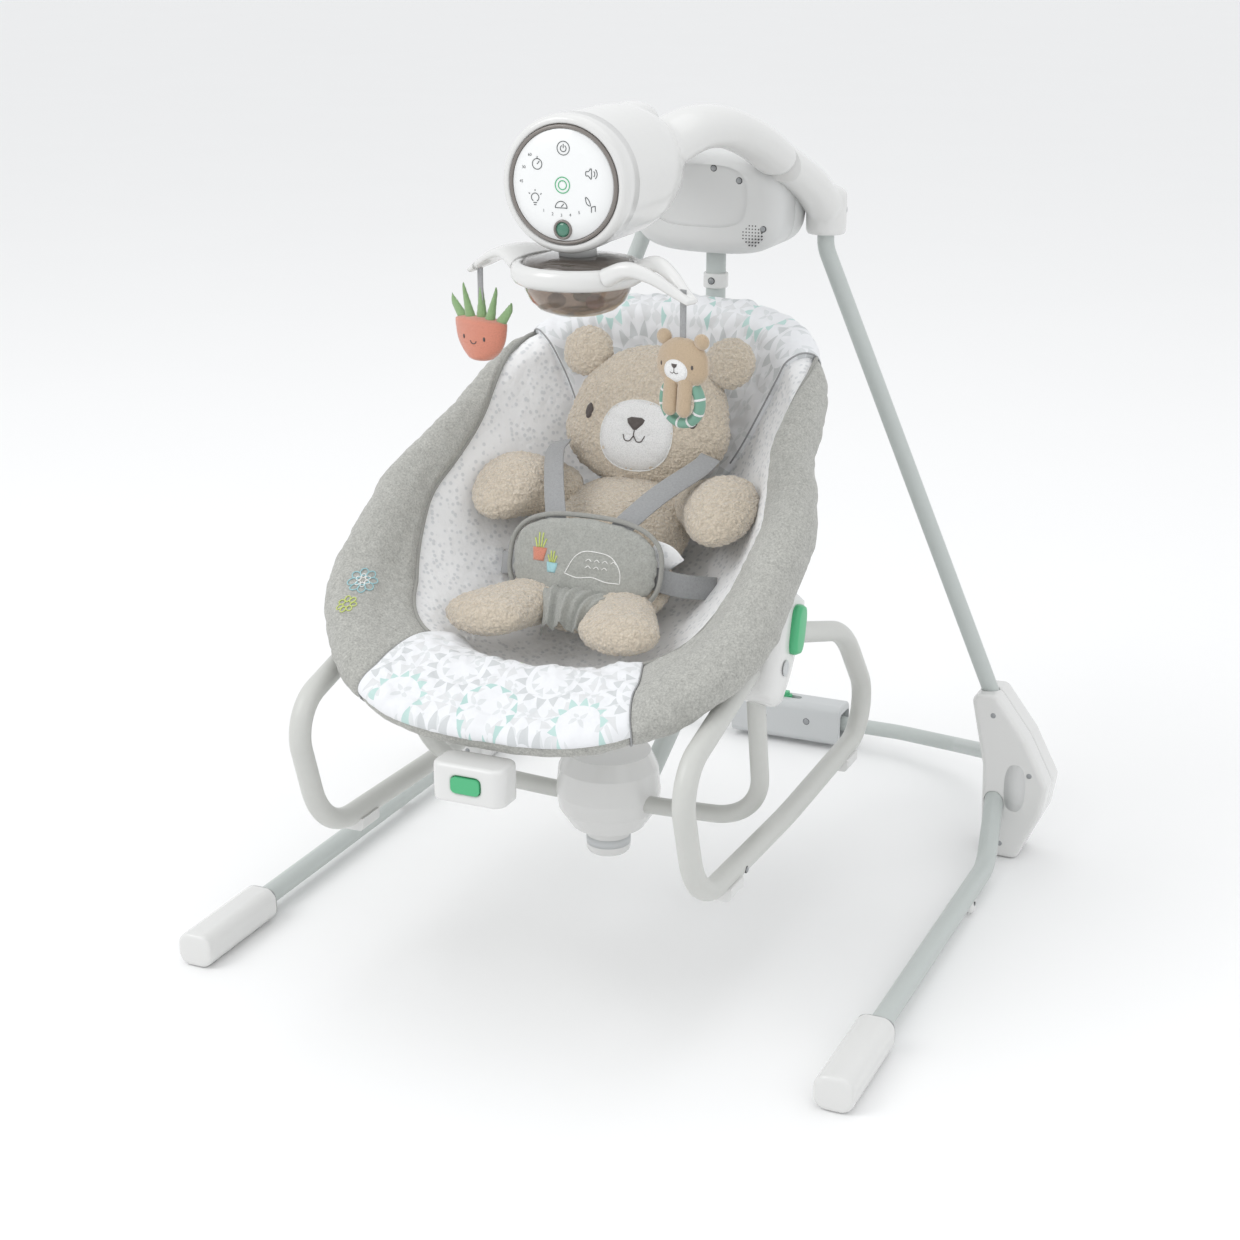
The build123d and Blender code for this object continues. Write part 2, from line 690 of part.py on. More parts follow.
def build_hanger():
    save("swing_axle", swing_axle())
    save("drive_gear", gear(263, 267.4, 0, SWING_Z, 36, 30.0, 1.6) - swing_axle())
    save("hanger_yoke", hanger_yoke())
    save("hanger_tube", hanger_tube())
    save("hanger_collar", hanger_collar())
    save("dock_cup", dock_cup())


def build_mobile():
    save("mobile_ring", mobile_ring())
    save("mobile_bowl", mobile_bowl())
    save("plush_plant", plush_plant(), toy_strap(-1, 690))
    save("plush_bear_toy", plush_bear_toy(), toy_strap(1, 682))
    save("teether_ring", teether_ring())


def build_rocker():
    save("base_housing", base_housing())
    save("cross_tube", cross_tube())
    save_pair("runner", runner())
    pads = runner_pads()
    save("runner_pads", *pads, *[mirror(pad, about=Plane.YZ) for pad in pads])
    save_pair("recline_hub", recline_hub())
    save_pair("recline_lever", recline_lever())


def build_seat():
    plate = recline_plate()
    save("recline_plates", plate, mirror(plate, about=Plane.YZ))
    save("seat_bucket", seat_bucket())
    save("seat_frame", seat_frame())
    save("bear_support", bear_head(), bear_body())
    save("waist_pad", waist_pad())
    save("harness_straps", *harness())
    save("buckle", buckle())
    save("buckle_button", buckle_button())
    save("vibration_unit", vibration_unit())
    save("vibration_button", vibration_button())


build_stand()
build_head()
build_hanger()
build_mobile()
build_rocker()
build_seat()
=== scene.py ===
import bpy
import bmesh
import json
import numpy as np
from math import cos, hypot, pi, radians, sin, sqrt
from mathutils import Matrix, Vector, noise
from mathutils.bvhtree import BVHTree


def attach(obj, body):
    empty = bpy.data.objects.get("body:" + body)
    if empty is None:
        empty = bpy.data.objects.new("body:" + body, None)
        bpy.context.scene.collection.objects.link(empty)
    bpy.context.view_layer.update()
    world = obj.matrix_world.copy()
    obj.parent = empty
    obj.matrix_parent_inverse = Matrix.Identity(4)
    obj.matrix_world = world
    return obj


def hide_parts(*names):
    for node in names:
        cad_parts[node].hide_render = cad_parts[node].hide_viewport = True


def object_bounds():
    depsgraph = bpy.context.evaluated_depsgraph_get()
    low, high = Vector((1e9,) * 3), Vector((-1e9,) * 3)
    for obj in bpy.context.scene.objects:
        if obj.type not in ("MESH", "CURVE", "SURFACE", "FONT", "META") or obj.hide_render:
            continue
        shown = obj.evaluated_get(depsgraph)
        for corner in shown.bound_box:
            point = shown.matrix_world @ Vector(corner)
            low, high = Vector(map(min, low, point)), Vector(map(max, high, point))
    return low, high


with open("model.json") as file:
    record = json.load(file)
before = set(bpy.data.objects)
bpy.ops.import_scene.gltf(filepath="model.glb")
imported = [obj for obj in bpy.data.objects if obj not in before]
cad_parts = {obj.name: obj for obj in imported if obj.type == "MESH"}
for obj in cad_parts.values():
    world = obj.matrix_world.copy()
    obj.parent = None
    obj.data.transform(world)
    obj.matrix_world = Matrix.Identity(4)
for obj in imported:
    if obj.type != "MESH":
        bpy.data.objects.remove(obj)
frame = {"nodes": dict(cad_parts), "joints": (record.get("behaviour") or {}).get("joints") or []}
NODES = frame["nodes"]
JOINT = {j["name"]: j for j in frame["joints"]}
FRAME_BOX = [list(p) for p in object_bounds()]
DY = 0.290 - JOINT["fold_right"]["pos_m"][1]       # station of the row frame's origin
TAG = {1: "right", -1: "left"}                     # name of each side, by the sign of x


def st(x, y, z):
    """A point given by its station along the swing, in the row frame."""
    return Vector((x, y - DY, z))


def mirrored(side, *points):
    """Points given for the right side, or turned over for the left."""
    return [st(side * x, y, z) for x, y, z in points]


# ---------------------------------------------------------------------------- materials

class Graph:
    """Short ways to build a node material."""

    def __init__(self, name):
        self.mat = bpy.data.materials.new(name)
        self.mat.use_nodes = True
        self.tree = self.mat.node_tree
        self.shader = self.tree.nodes["Principled BSDF"]
        self.coord = self.tree.nodes.new("ShaderNodeTexCoord")

    def link(self, a, b):
        self.tree.links.new(a, b)

    def math(self, op, a, b=None, c=None):
        node = self.tree.nodes.new("ShaderNodeMath")
        node.operation = op
        for k, value in enumerate((a, b, c)):
            if value is None:
                continue
            if isinstance(value, (int, float)):
                node.inputs[k].default_value = value
            else:
                self.link(value, node.inputs[k])
        return node.outputs[0]

    def noise(self, scale, detail=3.0, rough=0.55, vector=None):
        node = self.tree.nodes.new("ShaderNodeTexNoise")
        node.inputs["Scale"].default_value = scale
        node.inputs["Detail"].default_value = detail
        node.inputs["Roughness"].default_value = rough
        self.link(vector or self.coord.outputs["Object"], node.inputs["Vector"])
        return node.outputs["Fac"]

    def cells(self, scale, feature="F1", vector=None):
        node = self.tree.nodes.new("ShaderNodeTexVoronoi")
        node.feature = feature
        node.inputs["Scale"].default_value = scale
        self.link(vector or self.coord.outputs["Object"], node.inputs["Vector"])
        return node.outputs["Distance"]

    def ramp(self, fac, stops):
        node = self.tree.nodes.new("ShaderNodeValToRGB")
        ramp = node.color_ramp
        while len(ramp.elements) < len(stops):
            ramp.elements.new(0.5)
        for element, (place, colour) in zip(ramp.elements, stops):
            element.position = place
            element.color = (*colour, 1)
        self.link(fac, node.inputs["Fac"])
        return node.outputs["Color"]

    def mix(self, fac, a, b):
        node = self.tree.nodes.new("ShaderNodeMix")
        node.data_type = "RGBA"
        self.link(fac, node.inputs["Factor"])
        for socket, value in ((node.inputs[6], a), (node.inputs[7], b)):
            if isinstance(value, tuple):
                socket.default_value = (*value, 1)
            else:
                self.link(value, socket)
        return node.outputs[2]

    def bump(self, height, strength, distance):
        node = self.tree.nodes.new("ShaderNodeBump")
        node.inputs["Strength"].default_value = strength
        node.inputs["Distance"].default_value = distance
        self.link(height, node.inputs["Height"])
        self.link(node.outputs["Normal"], self.shader.inputs["Normal"])

    def set(self, **values):
        for key, value in values.items():
            self.shader.inputs[key.replace("_", " ")].default_value = value


def shade(colour, k):
    return tuple(min(1.0, c * k) for c in colour)


def plastic(name, colour, rough=0.32, grain=700, depth=0.00001, coat=0.0):
    g = Graph(name)
    tone = g.noise(9, 2)
    g.link(g.ramp(tone, [(0.3, shade(colour, 0.985)), (0.7, colour)]), g.shader.inputs["Base Color"])
    g.link(g.math("MULTIPLY_ADD", g.noise(20, 2), 0.05, rough - 0.025), g.shader.inputs["Roughness"])
    g.bump(g.noise(grain, 2), 0.08, depth)
    g.set(Coat_Weight=coat, Coat_Roughness=0.08)
    return g.mat


def metal(name, colour, rough=0.35, metallic=0.0):
    g = Graph(name)
    g.link(g.ramp(g.noise(140, 3), [(0.35, shade(colour, 0.985)), (0.65, colour)]),
           g.shader.inputs["Base Color"])
    g.link(g.math("MULTIPLY_ADD", g.noise(500, 3), 0.04, rough - 0.02), g.shader.inputs["Roughness"])
    g.bump(g.noise(1800, 2), 0.1, 0.00002)
    g.set(Metallic=metallic)
    return g.mat


def heather(name, colour, contrast=0.30, depth=0.0008):
    """Marled woven cloth: fine crossing threads over a soft mottle."""
    g = Graph(name)
    thread = g.noise(470, 5, 0.75)
    cloud = g.noise(130, 4, 0.65)
    mottle = g.math("MULTIPLY_ADD", thread, 0.8, g.math("MULTIPLY", cloud, 0.2))
    g.link(g.ramp(mottle, [(0.36, shade(colour, 1 - contrast)), (0.5, colour),
                           (0.64, shade(colour, 1 + contrast))]),
           g.shader.inputs["Base Color"])
    g.bump(g.math("ADD", thread, g.cells(900)), 0.55, depth)
    g.set(Roughness=0.93, Sheen_Weight=0.25, Sheen_Roughness=0.5)
    return g.mat


def plush(name, colour, scale=330, depth=0.004):
    """Short curly pile."""
    g = Graph(name)
    curl = g.cells(scale)
    soft = g.noise(scale * 1.6, 4, 0.6)
    # painted shade between the curls and painted highlight on their tops
    shadow = g.math("MULTIPLY_ADD", soft, 0.6, g.math("MULTIPLY", curl, 0.8))
    g.link(g.ramp(shadow, [(0.25, shade(colour, 1.06)), (0.6, colour), (0.95, shade(colour, 0.86))]),
           g.shader.inputs["Base Color"])
    g.bump(g.math("SUBTRACT", soft, curl), 0.75, depth)
    g.set(Roughness=0.97, Sheen_Weight=0.6, Sheen_Roughness=0.45)
    return g.mat


def webbing(name, colour):
    g = Graph(name)
    g.link(g.ramp(g.noise(500, 3), [(0.3, shade(colour, 0.88)), (0.7, shade(colour, 1.08))]),
           g.shader.inputs["Base Color"])
    g.bump(g.cells(1300), 0.5, 0.0005)
    g.set(Roughness=0.85, Sheen_Weight=0.15)
    return g.mat


def cotton(name):
    """White cotton printed with rings of small triangles. UVs are in metres."""
    g = Graph(name)
    split = g.tree.nodes.new("ShaderNodeSeparateXYZ")
    g.link(g.coord.outputs["UV"], split.inputs[0])

    def ring(colour, base, pitch, turn, lo, hi, count, inward=False, offset=(0.0, 0.0)):
        u = g.math("MULTIPLY_ADD", split.outputs[0], 1 / pitch, offset[0] + 20)
        v = g.math("MULTIPLY_ADD", split.outputs[1], 1 / pitch, offset[1] + 20)
        x = g.math("SUBTRACT", g.math("FRACT", u), 0.5)
        y = g.math("SUBTRACT", g.math("FRACT", v), 0.5)
        r = g.math("MULTIPLY", g.math("SQRT",
                                      g.math("ADD", g.math("MULTIPLY", x, x), g.math("MULTIPLY", y, y))),
                   pitch)
        angle = g.math("MULTIPLY_ADD", g.math("ARCTAN2", y, x), count / (2 * pi), turn + 20)
        side = g.math("MULTIPLY", g.math("ABSOLUTE", g.math("SUBTRACT", g.math("FRACT", angle), 0.5)), 2.3)
        height = g.math("DIVIDE", g.math("SUBTRACT", r, lo), hi - lo)
        limit = height if inward else g.math("SUBTRACT", 1.0, height)
        inside = g.math("MULTIPLY", g.math("GREATER_THAN", height, 0.0), g.math("LESS_THAN", height, 1.0))
        mask = g.math("MULTIPLY", inside, g.math("LESS_THAN", side, limit))
        return g.mix(mask, base, colour)

    white = (0.79, 0.80, 0.82)
    grey = (0.60, 0.62, 0.63)
    c = ring((0.69, 0.71, 0.72), white, 0.027, 0.0, 0.002, 0.011, 4)
    c = ring(white, c, 0.096, 0.0, 0.0, 0.040, 1.0)
    c = ring(grey, c, 0.096, 0.0, 0.026, 0.037, 14)
    c = ring((0.69, 0.70, 0.71), c, 0.096, 0.5, 0.037, 0.046, 16, True)
    c = ring((0.50, 0.67, 0.64), c, 0.192, 0.0, 0.022, 0.030, 13)
    c = ring((0.55, 0.68, 0.46), c, 0.192, 0.25, 0.021, 0.029, 13, False, (0.5, 0.5))
    c = ring((0.66, 0.68, 0.69), c, 0.096, 0.5, 0.012, 0.020, 10, True)
    c = ring((0.46, 0.64, 0.61), c, 0.192, 0.0, 0.023, 0.030, 12, True, (0.5, 0.0))
    g.link(c, g.shader.inputs["Base Color"])
    g.bump(g.math("ADD", g.noise(1100, 3, 0.6), g.cells(1500)), 0.35, 0.0003)
    g.set(Roughness=0.88, Sheen_Weight=0.12)
    return g.mat


def waffle(name):
    """White quilted lining with small raised dots."""
    g = Graph(name)
    dots = g.cells(150)
    g.link(g.ramp(dots, [(0.24, (0.70, 0.715, 0.73)), (0.40, (0.87, 0.875, 0.88))]),
           g.shader.inputs["Base Color"])
    g.bump(g.math("SUBTRACT", g.noise(900, 3), g.math("MULTIPLY", dots, 2.0)), 0.4, 0.0010)
    g.set(Roughness=0.9, Sheen_Weight=0.15)
    return g.mat


M = {
    "white": plastic("white_plastic", (0.70, 0.70, 0.69), 0.22, coat=0.3),
    "satin": plastic("satin_white_plastic", (0.63, 0.635, 0.63), 0.42),
    "panel": plastic("panel_face", (0.83, 0.84, 0.84), 0.22, coat=0.3),
    "latch": plastic("latch_grey", (0.55, 0.565, 0.57), 0.42),
    "ring": plastic("bezel_ring", (0.20, 0.18, 0.165), 0.22, coat=0.5),
    "green": plastic("green_button", (0.075, 0.44, 0.20), 0.36),
    "lens": plastic("green_lens", (0.05, 0.20, 0.13), 0.12, coat=1.0),
    "ink": plastic("printed_ink", (0.10, 0.11, 0.11), 0.5),
    # painted shade: near-black plastic put in screw recesses, the sleeve seam and the grille holes
    "dark": plastic("painted_gap_shade", (0.05, 0.05, 0.05), 0.6),
    "rubber": plastic("white_rubber", (0.70, 0.70, 0.69), 0.6),
    "line": plastic("grey_rubber_line", (0.30, 0.31, 0.31), 0.6),
    "board": plastic("circuit_board", (0.03, 0.14, 0.06), 0.4),
    "stand": metal("stand_powder_coat", (0.50, 0.535, 0.52), 0.38),
    "rocker": metal("rocker_powder_coat", (0.56, 0.565, 0.54), 0.36),
    "steel": metal("plain_steel", (0.55, 0.55, 0.55), 0.32, 1.0),
    "screw": metal("screw_head", (0.34, 0.35, 0.36), 0.35, 0.8),
    "heather": heather("heather_fabric", (0.405, 0.405, 0.378)),
    "pad": heather("waist_fabric", (0.37, 0.375, 0.35), 0.2),
    "piping": heather("piping_cloth", (0.31, 0.31, 0.29), 0.1, 0.0003),
    "web": webbing("harness_webbing", (0.33, 0.335, 0.34)),
    "bear": plush("bear_plush", (0.74, 0.645, 0.52)),
    "muzzle": plush("muzzle_velour", (0.82, 0.82, 0.815), 900, 0.0006),
    "thread": webbing("dark_thread", (0.10, 0.085, 0.08)),
    "white_thread": webbing("white_thread", (0.82, 0.82, 0.80)),
    "blue_thread": webbing("blue_thread", (0.36, 0.60, 0.64)),
    "lime_thread": webbing("lime_thread", (0.58, 0.66, 0.20)),
    "coral": plush("coral_velour", (0.66, 0.255, 0.175), 1100, 0.0005),
    "sage": plush("sage_velour", (0.265, 0.42, 0.20), 1100, 0.0005),
    "tan": plush("tan_velour", (0.50, 0.385, 0.265), 1100, 0.0005),
    "teether": plastic("teether_green", (0.17, 0.34, 0.26), 0.45),
    "cotton": cotton("printed_cotton"),
    "liner": waffle("dotted_lining"),
}


def smoky():
    g = Graph("smoky_clear")
    g.link(g.ramp(g.noise(30, 2), [(0.3, (0.52, 0.43, 0.36)), (0.7, (0.58, 0.49, 0.42))]),
           g.shader.inputs["Base Color"])
    g.set(Roughness=0.06, Transmission_Weight=0.85, IOR=1.45, Coat_Weight=0.5)
    return g.mat


M["smoky"] = smoky()

# ---------------------------------------------------------------------------- mesh helpers


def finish_piece(obj, mat, body, replaces=(), smooth=True):
    """Give a piece its material and body, and hide the CAD nodes it stands for."""
    obj.data.materials.clear()
    obj.data.materials.append(M[mat])
    if smooth:
        obj.data.polygons.foreach_set("use_smooth", [True] * len(obj.data.polygons))
    if body:
        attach(obj, body)
    if replaces:
        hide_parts(*replaces)
    return obj


def mesh_object(name, verts, faces):
    mesh = bpy.data.meshes.new(name)
    mesh.from_pydata([tuple(v) for v in verts], [], faces)
    mesh.validate()
    work = bmesh.new()
    work.from_mesh(mesh)
    bmesh.ops.recalc_face_normals(work, faces=work.faces)
    work.to_mesh(mesh)
    work.free()
    obj = bpy.data.objects.new(name, mesh)
    bpy.context.scene.collection.objects.link(obj)
    return obj


def applied(obj):
    """Bake the object's modifiers into its mesh."""
    bpy.context.view_layer.update()
    graph = bpy.context.evaluated_depsgraph_get()
    mesh = bpy.data.meshes.new_from_object(obj.evaluated_get(graph))
    obj.modifiers.clear()
    obj.data = mesh
    return obj


def spline(points, count, closed=False):
    """Points along a smooth curve through the given ones."""
    pts = [Vector(p) for p in points]
    n = len(pts)
    out = []
    spans = n if closed else n - 1
    for i in range(spans):
        p1, p2 = pts[i], pts[(i + 1) % n]
        p0 = pts[(i - 1) % n] if closed or i > 0 else p1 * 2 - p2
        p3 = pts[(i + 2) % n] if closed or i + 2 < n else p2 * 2 - p1
        for k in range(count):
            t = k / count
            out.append(0.5 * ((2 * p1) + (p2 - p0) * t + (2 * p0 - 5 * p1 + 4 * p2 - p3) * t * t
                              + (3 * p1 - p0 - 3 * p2 + p3) * t ** 3))
    if not closed:
        out.append(pts[-1])
    return out


def signed_power(c, power):
    """Coordinate of a squared-off circle, from the sine or cosine of the angle."""
    return (abs(c) ** (2 / power)) * (1 if c >= 0 else -1)


def sweep(name, path, size, up=None, closed=False, sides=12, power=2.0):
    """A bar along a path. size gives half width and half height, as numbers or one pair per point."""
    verts, faces = [], []
    n = len(path)
    last = Vector(up) if up is not None else None
    for i, p in enumerate(path):
        a = path[(i - 1) % n] if closed or i > 0 else path[i]
        b = path[(i + 1) % n] if closed or i < n - 1 else path[i]
        along = (b - a).normalized()
        if last is None:
            last = Vector((0, 0, 1)) if abs(along.z) < 0.9 else Vector((0, 1, 0))
        side = along.cross(last).normalized()
        top = side.cross(along).normalized()
        last = top if up is None else Vector(up[i]) if hasattr(up[0],
            "__len__") and len(up) == n and n > 3 else last
        w, h = size[i] if isinstance(size, list) else size
        for k in range(sides):
            angle = 2 * pi * k / sides
            c, s = signed_power(cos(angle), power), signed_power(sin(angle), power)
            verts.append(p + side * (c * w) + top * (s * h))
    rows = n if closed else n - 1
    for i in range(rows):
        j = (i + 1) % n
        for k in range(sides):
            m = (k + 1) % sides
            faces.append((i * sides + k, i * sides + m, j * sides + m, j * sides + k))
    if not closed:
        faces.append(tuple(range(sides)))
        faces.append(tuple(range((n - 1) * sides, n * sides)))
    return mesh_object(name, verts, faces)


def ribbon(name, path, width, thick, facing):
    """A flat strap along a path; facing is the way its broad side looks."""
    verts, faces = [], []
    n = len(path)
    for i, p in enumerate(path):
        along = (path[min(i + 1, n - 1)] - path[max(i - 1, 0)]).normalized()
        face = Vector(facing[i] if isinstance(facing, list) else facing)
        side = along.cross(face).normalized()
        out = side.cross(along).normalized()
        w = width[i] if isinstance(width, list) else width
        for a, b in ((-1, -0.6), (-0.94, -1), (0.94, -1), (1, -0.6), (1, 0.6), (0.94, 1), (-0.94, 1),
                     (-1, 0.6)):
            verts.append(p + side * (a * w / 2) + out * (b * thick / 2))
    for i in range(n - 1):
        for k in range(8):
            m = (k + 1) % 8
            faces.append((i * 8 + k, i * 8 + m, i * 8 + 8 + m, i * 8 + 8 + k))
    faces.append(tuple(range(8)))
    faces.append(tuple(range(n * 8 - 8, n * 8)))
    return mesh_object(name, verts, faces)


def welded(obj, reach, close):
    """Merge points closer than reach, and close open ends if asked."""
    work = bmesh.new()
    work.from_mesh(obj.data)
    bmesh.ops.remove_doubles(work, verts=work.verts, dist=reach)
    if close:
        bmesh.ops.holes_fill(work, edges=work.edges, sides=0)
    bmesh.ops.recalc_face_normals(work, faces=work.faces)
    work.to_mesh(obj.data)
    work.free()
    return obj


def lathe(name, profile, centre, axis="Y", segments=96):
    """Turned form from (radius, distance along the axis) points; ends on the axis are closed."""
    verts, faces = [], []
    for r, d in profile:
        for k in range(segments):
            a = 2 * pi * k / segments
            c, s = r * cos(a), r * sin(a)
            verts.append(Vector(centre) + (Vector((c, d, s)) if axis == "Y" else Vector((c, s,
                d)) if axis == "Z"
                                           else Vector((d, c, s))))
    rows = len(profile)
    for i in range(rows - 1):
        for k in range(segments):
            m = (k + 1) % segments
            faces.append((i * segments + k, i * segments + m, (i + 1) * segments + m,
                          (i + 1) * segments + k))
    return welded(mesh_object(name, verts, faces), 1e-6, True)


def disc(name, centre, normal, radius, depth, segments=24, bevel=0.3):
    """A short round plug whose face looks along normal."""
    n = Vector(normal).normalized()
    turn = Vector((0, 0, 1)).rotation_difference(n).to_matrix()
    verts, faces = [], []
    edge = radius * bevel
    for r, d in ((radius, -depth), (radius, -edge * 0.5), (radius - edge, 0), (1e-5, 0)):
        for k in range(segments):
            a = 2 * pi * k / segments
            verts.append(Vector(centre) + turn @ Vector((r * cos(a), r * sin(a), d)))
    for i in range(3):
        for k in range(segments):
            m = (k + 1) % segments
            faces.append((i * segments + k, i * segments + m, (i + 1) * segments + m,
                          (i + 1) * segments + k))
    faces.append(tuple(range(segments)))
    faces.append(tuple(range(3 * segments, 4 * segments)))
    return mesh_object(name, verts, faces)


def joined(name, objects):
    """One object from several."""
    verts, faces = [], []
    for o in objects:
        base = len(verts)
        verts += [o.matrix_world @ v.co for v in o.data.vertices]
        faces += [tuple(base + i for i in p.vertices) for p in o.data.polygons]
        bpy.data.objects.remove(o)
    return mesh_object(name, verts, faces)


def carved(obj, tools, bevel=0.0):
    """Cut tool solids out of a piece, and round its sharp edges by bevel."""
    for tool in tools:
        mod = obj.modifiers.new("cut", "BOOLEAN")
        mod.object = tool
        mod.solver = "EXACT"
    if bevel:
        mod = obj.modifiers.new("bevel", "BEVEL")
        mod.width = bevel
        mod.segments = 2
        mod.limit_method = "ANGLE"
        mod.angle_limit = radians(50)
    applied(obj)
    for tool in tools:
        bpy.data.objects.remove(tool)
    return obj


def blob(name, parts, voxel, rounds=8):
    """One smooth form from overlapping balls: (centre, radii, turn matrix or None)."""
    work = bmesh.new()
    for centre, radii, turn in parts:
        scale = Matrix.Diagonal((*radii, 1))
        place = Matrix.Translation(centre) @ (turn.to_4x4() if turn else Matrix.Identity(4)) @ scale
        bmesh.ops.create_icosphere(work, subdivisions=4, radius=1, matrix=place)
    mesh = bpy.data.meshes.new(name)
    work.to_mesh(mesh)
    work.free()
    obj = bpy.data.objects.new(name, mesh)
    bpy.context.scene.collection.objects.link(obj)
    return remeshed(obj, voxel, rounds)


def remeshed(obj, voxel, rounds):
    """Rebuild a form on a voxel grid and smooth it."""
    mod = obj.modifiers.new("remesh", "REMESH")
    mod.mode = "VOXEL"
    mod.voxel_size = voxel
    if rounds:
        soft = obj.modifiers.new("smooth", "SMOOTH")
        soft.factor = 0.5
        soft.iterations = rounds
    return applied(obj)


def trimmed(obj, *cuts):
    """Cut a closed form by planes, each a point and the normal of the side that goes, and close it."""
    work = bmesh.new()
    work.from_mesh(obj.data)
    for place, normal in cuts:
        geom = work.verts[:] + work.edges[:] + work.faces[:]
        bmesh.ops.bisect_plane(work, geom=geom, plane_co=place, plane_no=normal, clear_outer=True)
        bmesh.ops.holes_fill(work, edges=[e for e in work.edges if e.is_boundary], sides=0)
    bmesh.ops.recalc_face_normals(work, faces=work.faces)
    work.to_mesh(obj.data)
    work.free()
    return obj


def chain(points, steps=6):
    """Balls along a limb given as (point, radii) with a shared turn."""
    out = []
    for (p, a, turn), (q, b, _) in zip(points, points[1:]):
        for k in range(steps + 1):
            t = k / steps
            out.append((Vector(p).lerp(Vector(q), t), tuple(x + (y - x) * t for x, y in zip(a, b)), turn))
    return out


def puffed(obj, pressure=4.0, cap=0.006, frames=20):
    """Swell a soft piece with Blender's Cloth, and keep every point within cap of where it was."""
    start = np.array([v.co for v in obj.data.vertices])
    cloth = obj.modifiers.new("cloth", "CLOTH")
    cloth.settings.use_pressure = True
    cloth.settings.uniform_pressure_force = pressure
    cloth.settings.effector_weights.gravity = 0
    cloth.settings.tension_stiffness = 40
    cloth.settings.bending_stiffness = 4
    scene = bpy.context.scene
    for f in range(1, frames + 1):
        scene.frame_set(f)
    graph = bpy.context.evaluated_depsgraph_get()
    mesh = bpy.data.meshes.new_from_object(obj.evaluated_get(graph))
    obj.modifiers.clear()
    end = np.array([v.co for v in mesh.vertices])
    move = end - start
    length = np.maximum(np.linalg.norm(move, axis=1), 1e-9)
    end = start + move * np.minimum(1, cap / length)[:, None]
    mesh.vertices.foreach_set("co", end.reshape(-1))
    obj.data = mesh
    scene.frame_set(1)
    return obj


def subdivided(obj):
    sub = obj.modifiers.new("sub", "SUBSURF")
    sub.levels = sub.render_levels = 1
    applied(obj)


def crumpled(obj, size, depth, seed=0.0):
    """Move each point along its normal by smooth noise."""
    mesh = obj.data
    normals = [v.normal.copy() for v in mesh.vertices]
    for v, n in zip(mesh.vertices, normals):
        v.co += n * depth * noise.fractal(v.co / size + Vector((seed, seed, seed)), 0.6, 2.0, 3)
    mesh.update()
    return obj


def tree_of(obj):
    return BVHTree.FromPolygons([obj.matrix_world @ v.co for v in obj.data.vertices],
                                [tuple(p.vertices) for p in obj.data.polygons])


class Face:
    """Places flat marks on a soft piece: local axes x, u and the way out, w."""

    def __init__(self, obj, centre, across, up, lift=0.0006):
        self.tree = tree_of(obj)
        self.centre, self.across, self.up = Vector(centre), Vector(across), Vector(up)
        self.out = self.across.cross(self.up).normalized()
        self.lift = lift

    def at(self, x, u, extra=0.0):
        start = self.centre + self.across * x + self.up * u + self.out * 0.09
        hit, normal, _, _ = self.tree.ray_cast(start, -self.out, 0.16)
        if hit is None:
            hit = self.centre + self.across * x + self.up * u
        return hit + self.out * (self.lift + extra)

    def patch(self, name, outline, thick=0.0012, rings=6):
        """A filled mark inside a closed outline of (x, u) points."""
        cx = sum(p[0] for p in outline) / len(outline)
        cu = sum(p[1] for p in outline) / len(outline)
        verts, faces = [], []
        n = len(outline)
        for r in range(rings + 1):
            t = r / rings
            for x, u in outline:
                extra = thick * (1 - t ** 6)
                verts.append(self.at(cx + (x - cx) * t, cu + (u - cu) * t, extra))
        for x, u in outline:
            verts.append(self.at(x, u, -0.003))
        for r in range(rings + 1):
            for k in range(n):
                m = (k + 1) % n
                faces.append((r * n + k, r * n + m, (r + 1) * n + m, (r + 1) * n + k))
        faces.append(tuple(range((rings + 1) * n, (rings + 2) * n)))
        return mesh_object(name, verts, faces)

    def stitch(self, name, points, radius=0.0006, closed=False, count=6):
        path = spline([(x, u, 0) for x, u in points], count, closed)
        return sweep(name, [self.at(p.x, p.y) for p in path], (radius, radius), closed=closed, sides=8)


def ellipse_line(cx, cu, rx, ru, count=32, power=2.0):
    """Outline of an ellipse, squared off by a power over 2."""
    pts = []
    for k in range(count):
        a = 2 * pi * k / count
        pts.append((cx + rx * signed_power(cos(a), power), cu + ru * signed_power(sin(a), power)))
    return pts


def screw(name, centre, normal, body, radius=0.0042):
    """Recessed screw: a round head in a dark ring of painted shade that stands for its recess."""
    n = Vector(normal).normalized()
    # the dark disc round the head is painted shade in the recess
    well_shade = disc(name + "_well", Vector(centre) + n * 0.0003, n, radius * 1.25, 0.003)
    finish_piece(well_shade, "dark", body)
    head = disc(name, Vector(centre) + n * 0.0008, n, radius, 0.003)
    finish_piece(head, "screw", body)


# ---------------------------------------------------------------------------- seat

TILT = radians(31)
RIM = st(0, -0.083, 0.485)
SA = Vector((0, cos(TILT), sin(TILT)))      # up the seat, in the rim's plane
NA = Vector((0, -sin(TILT), cos(TILT)))     # out of the seat
XA = Vector((1, 0, 0))


def sp(x, s, n):
    """A point from the seat: across, up its back, and out of it."""
    return RIM + XA * x + SA * s + NA * n


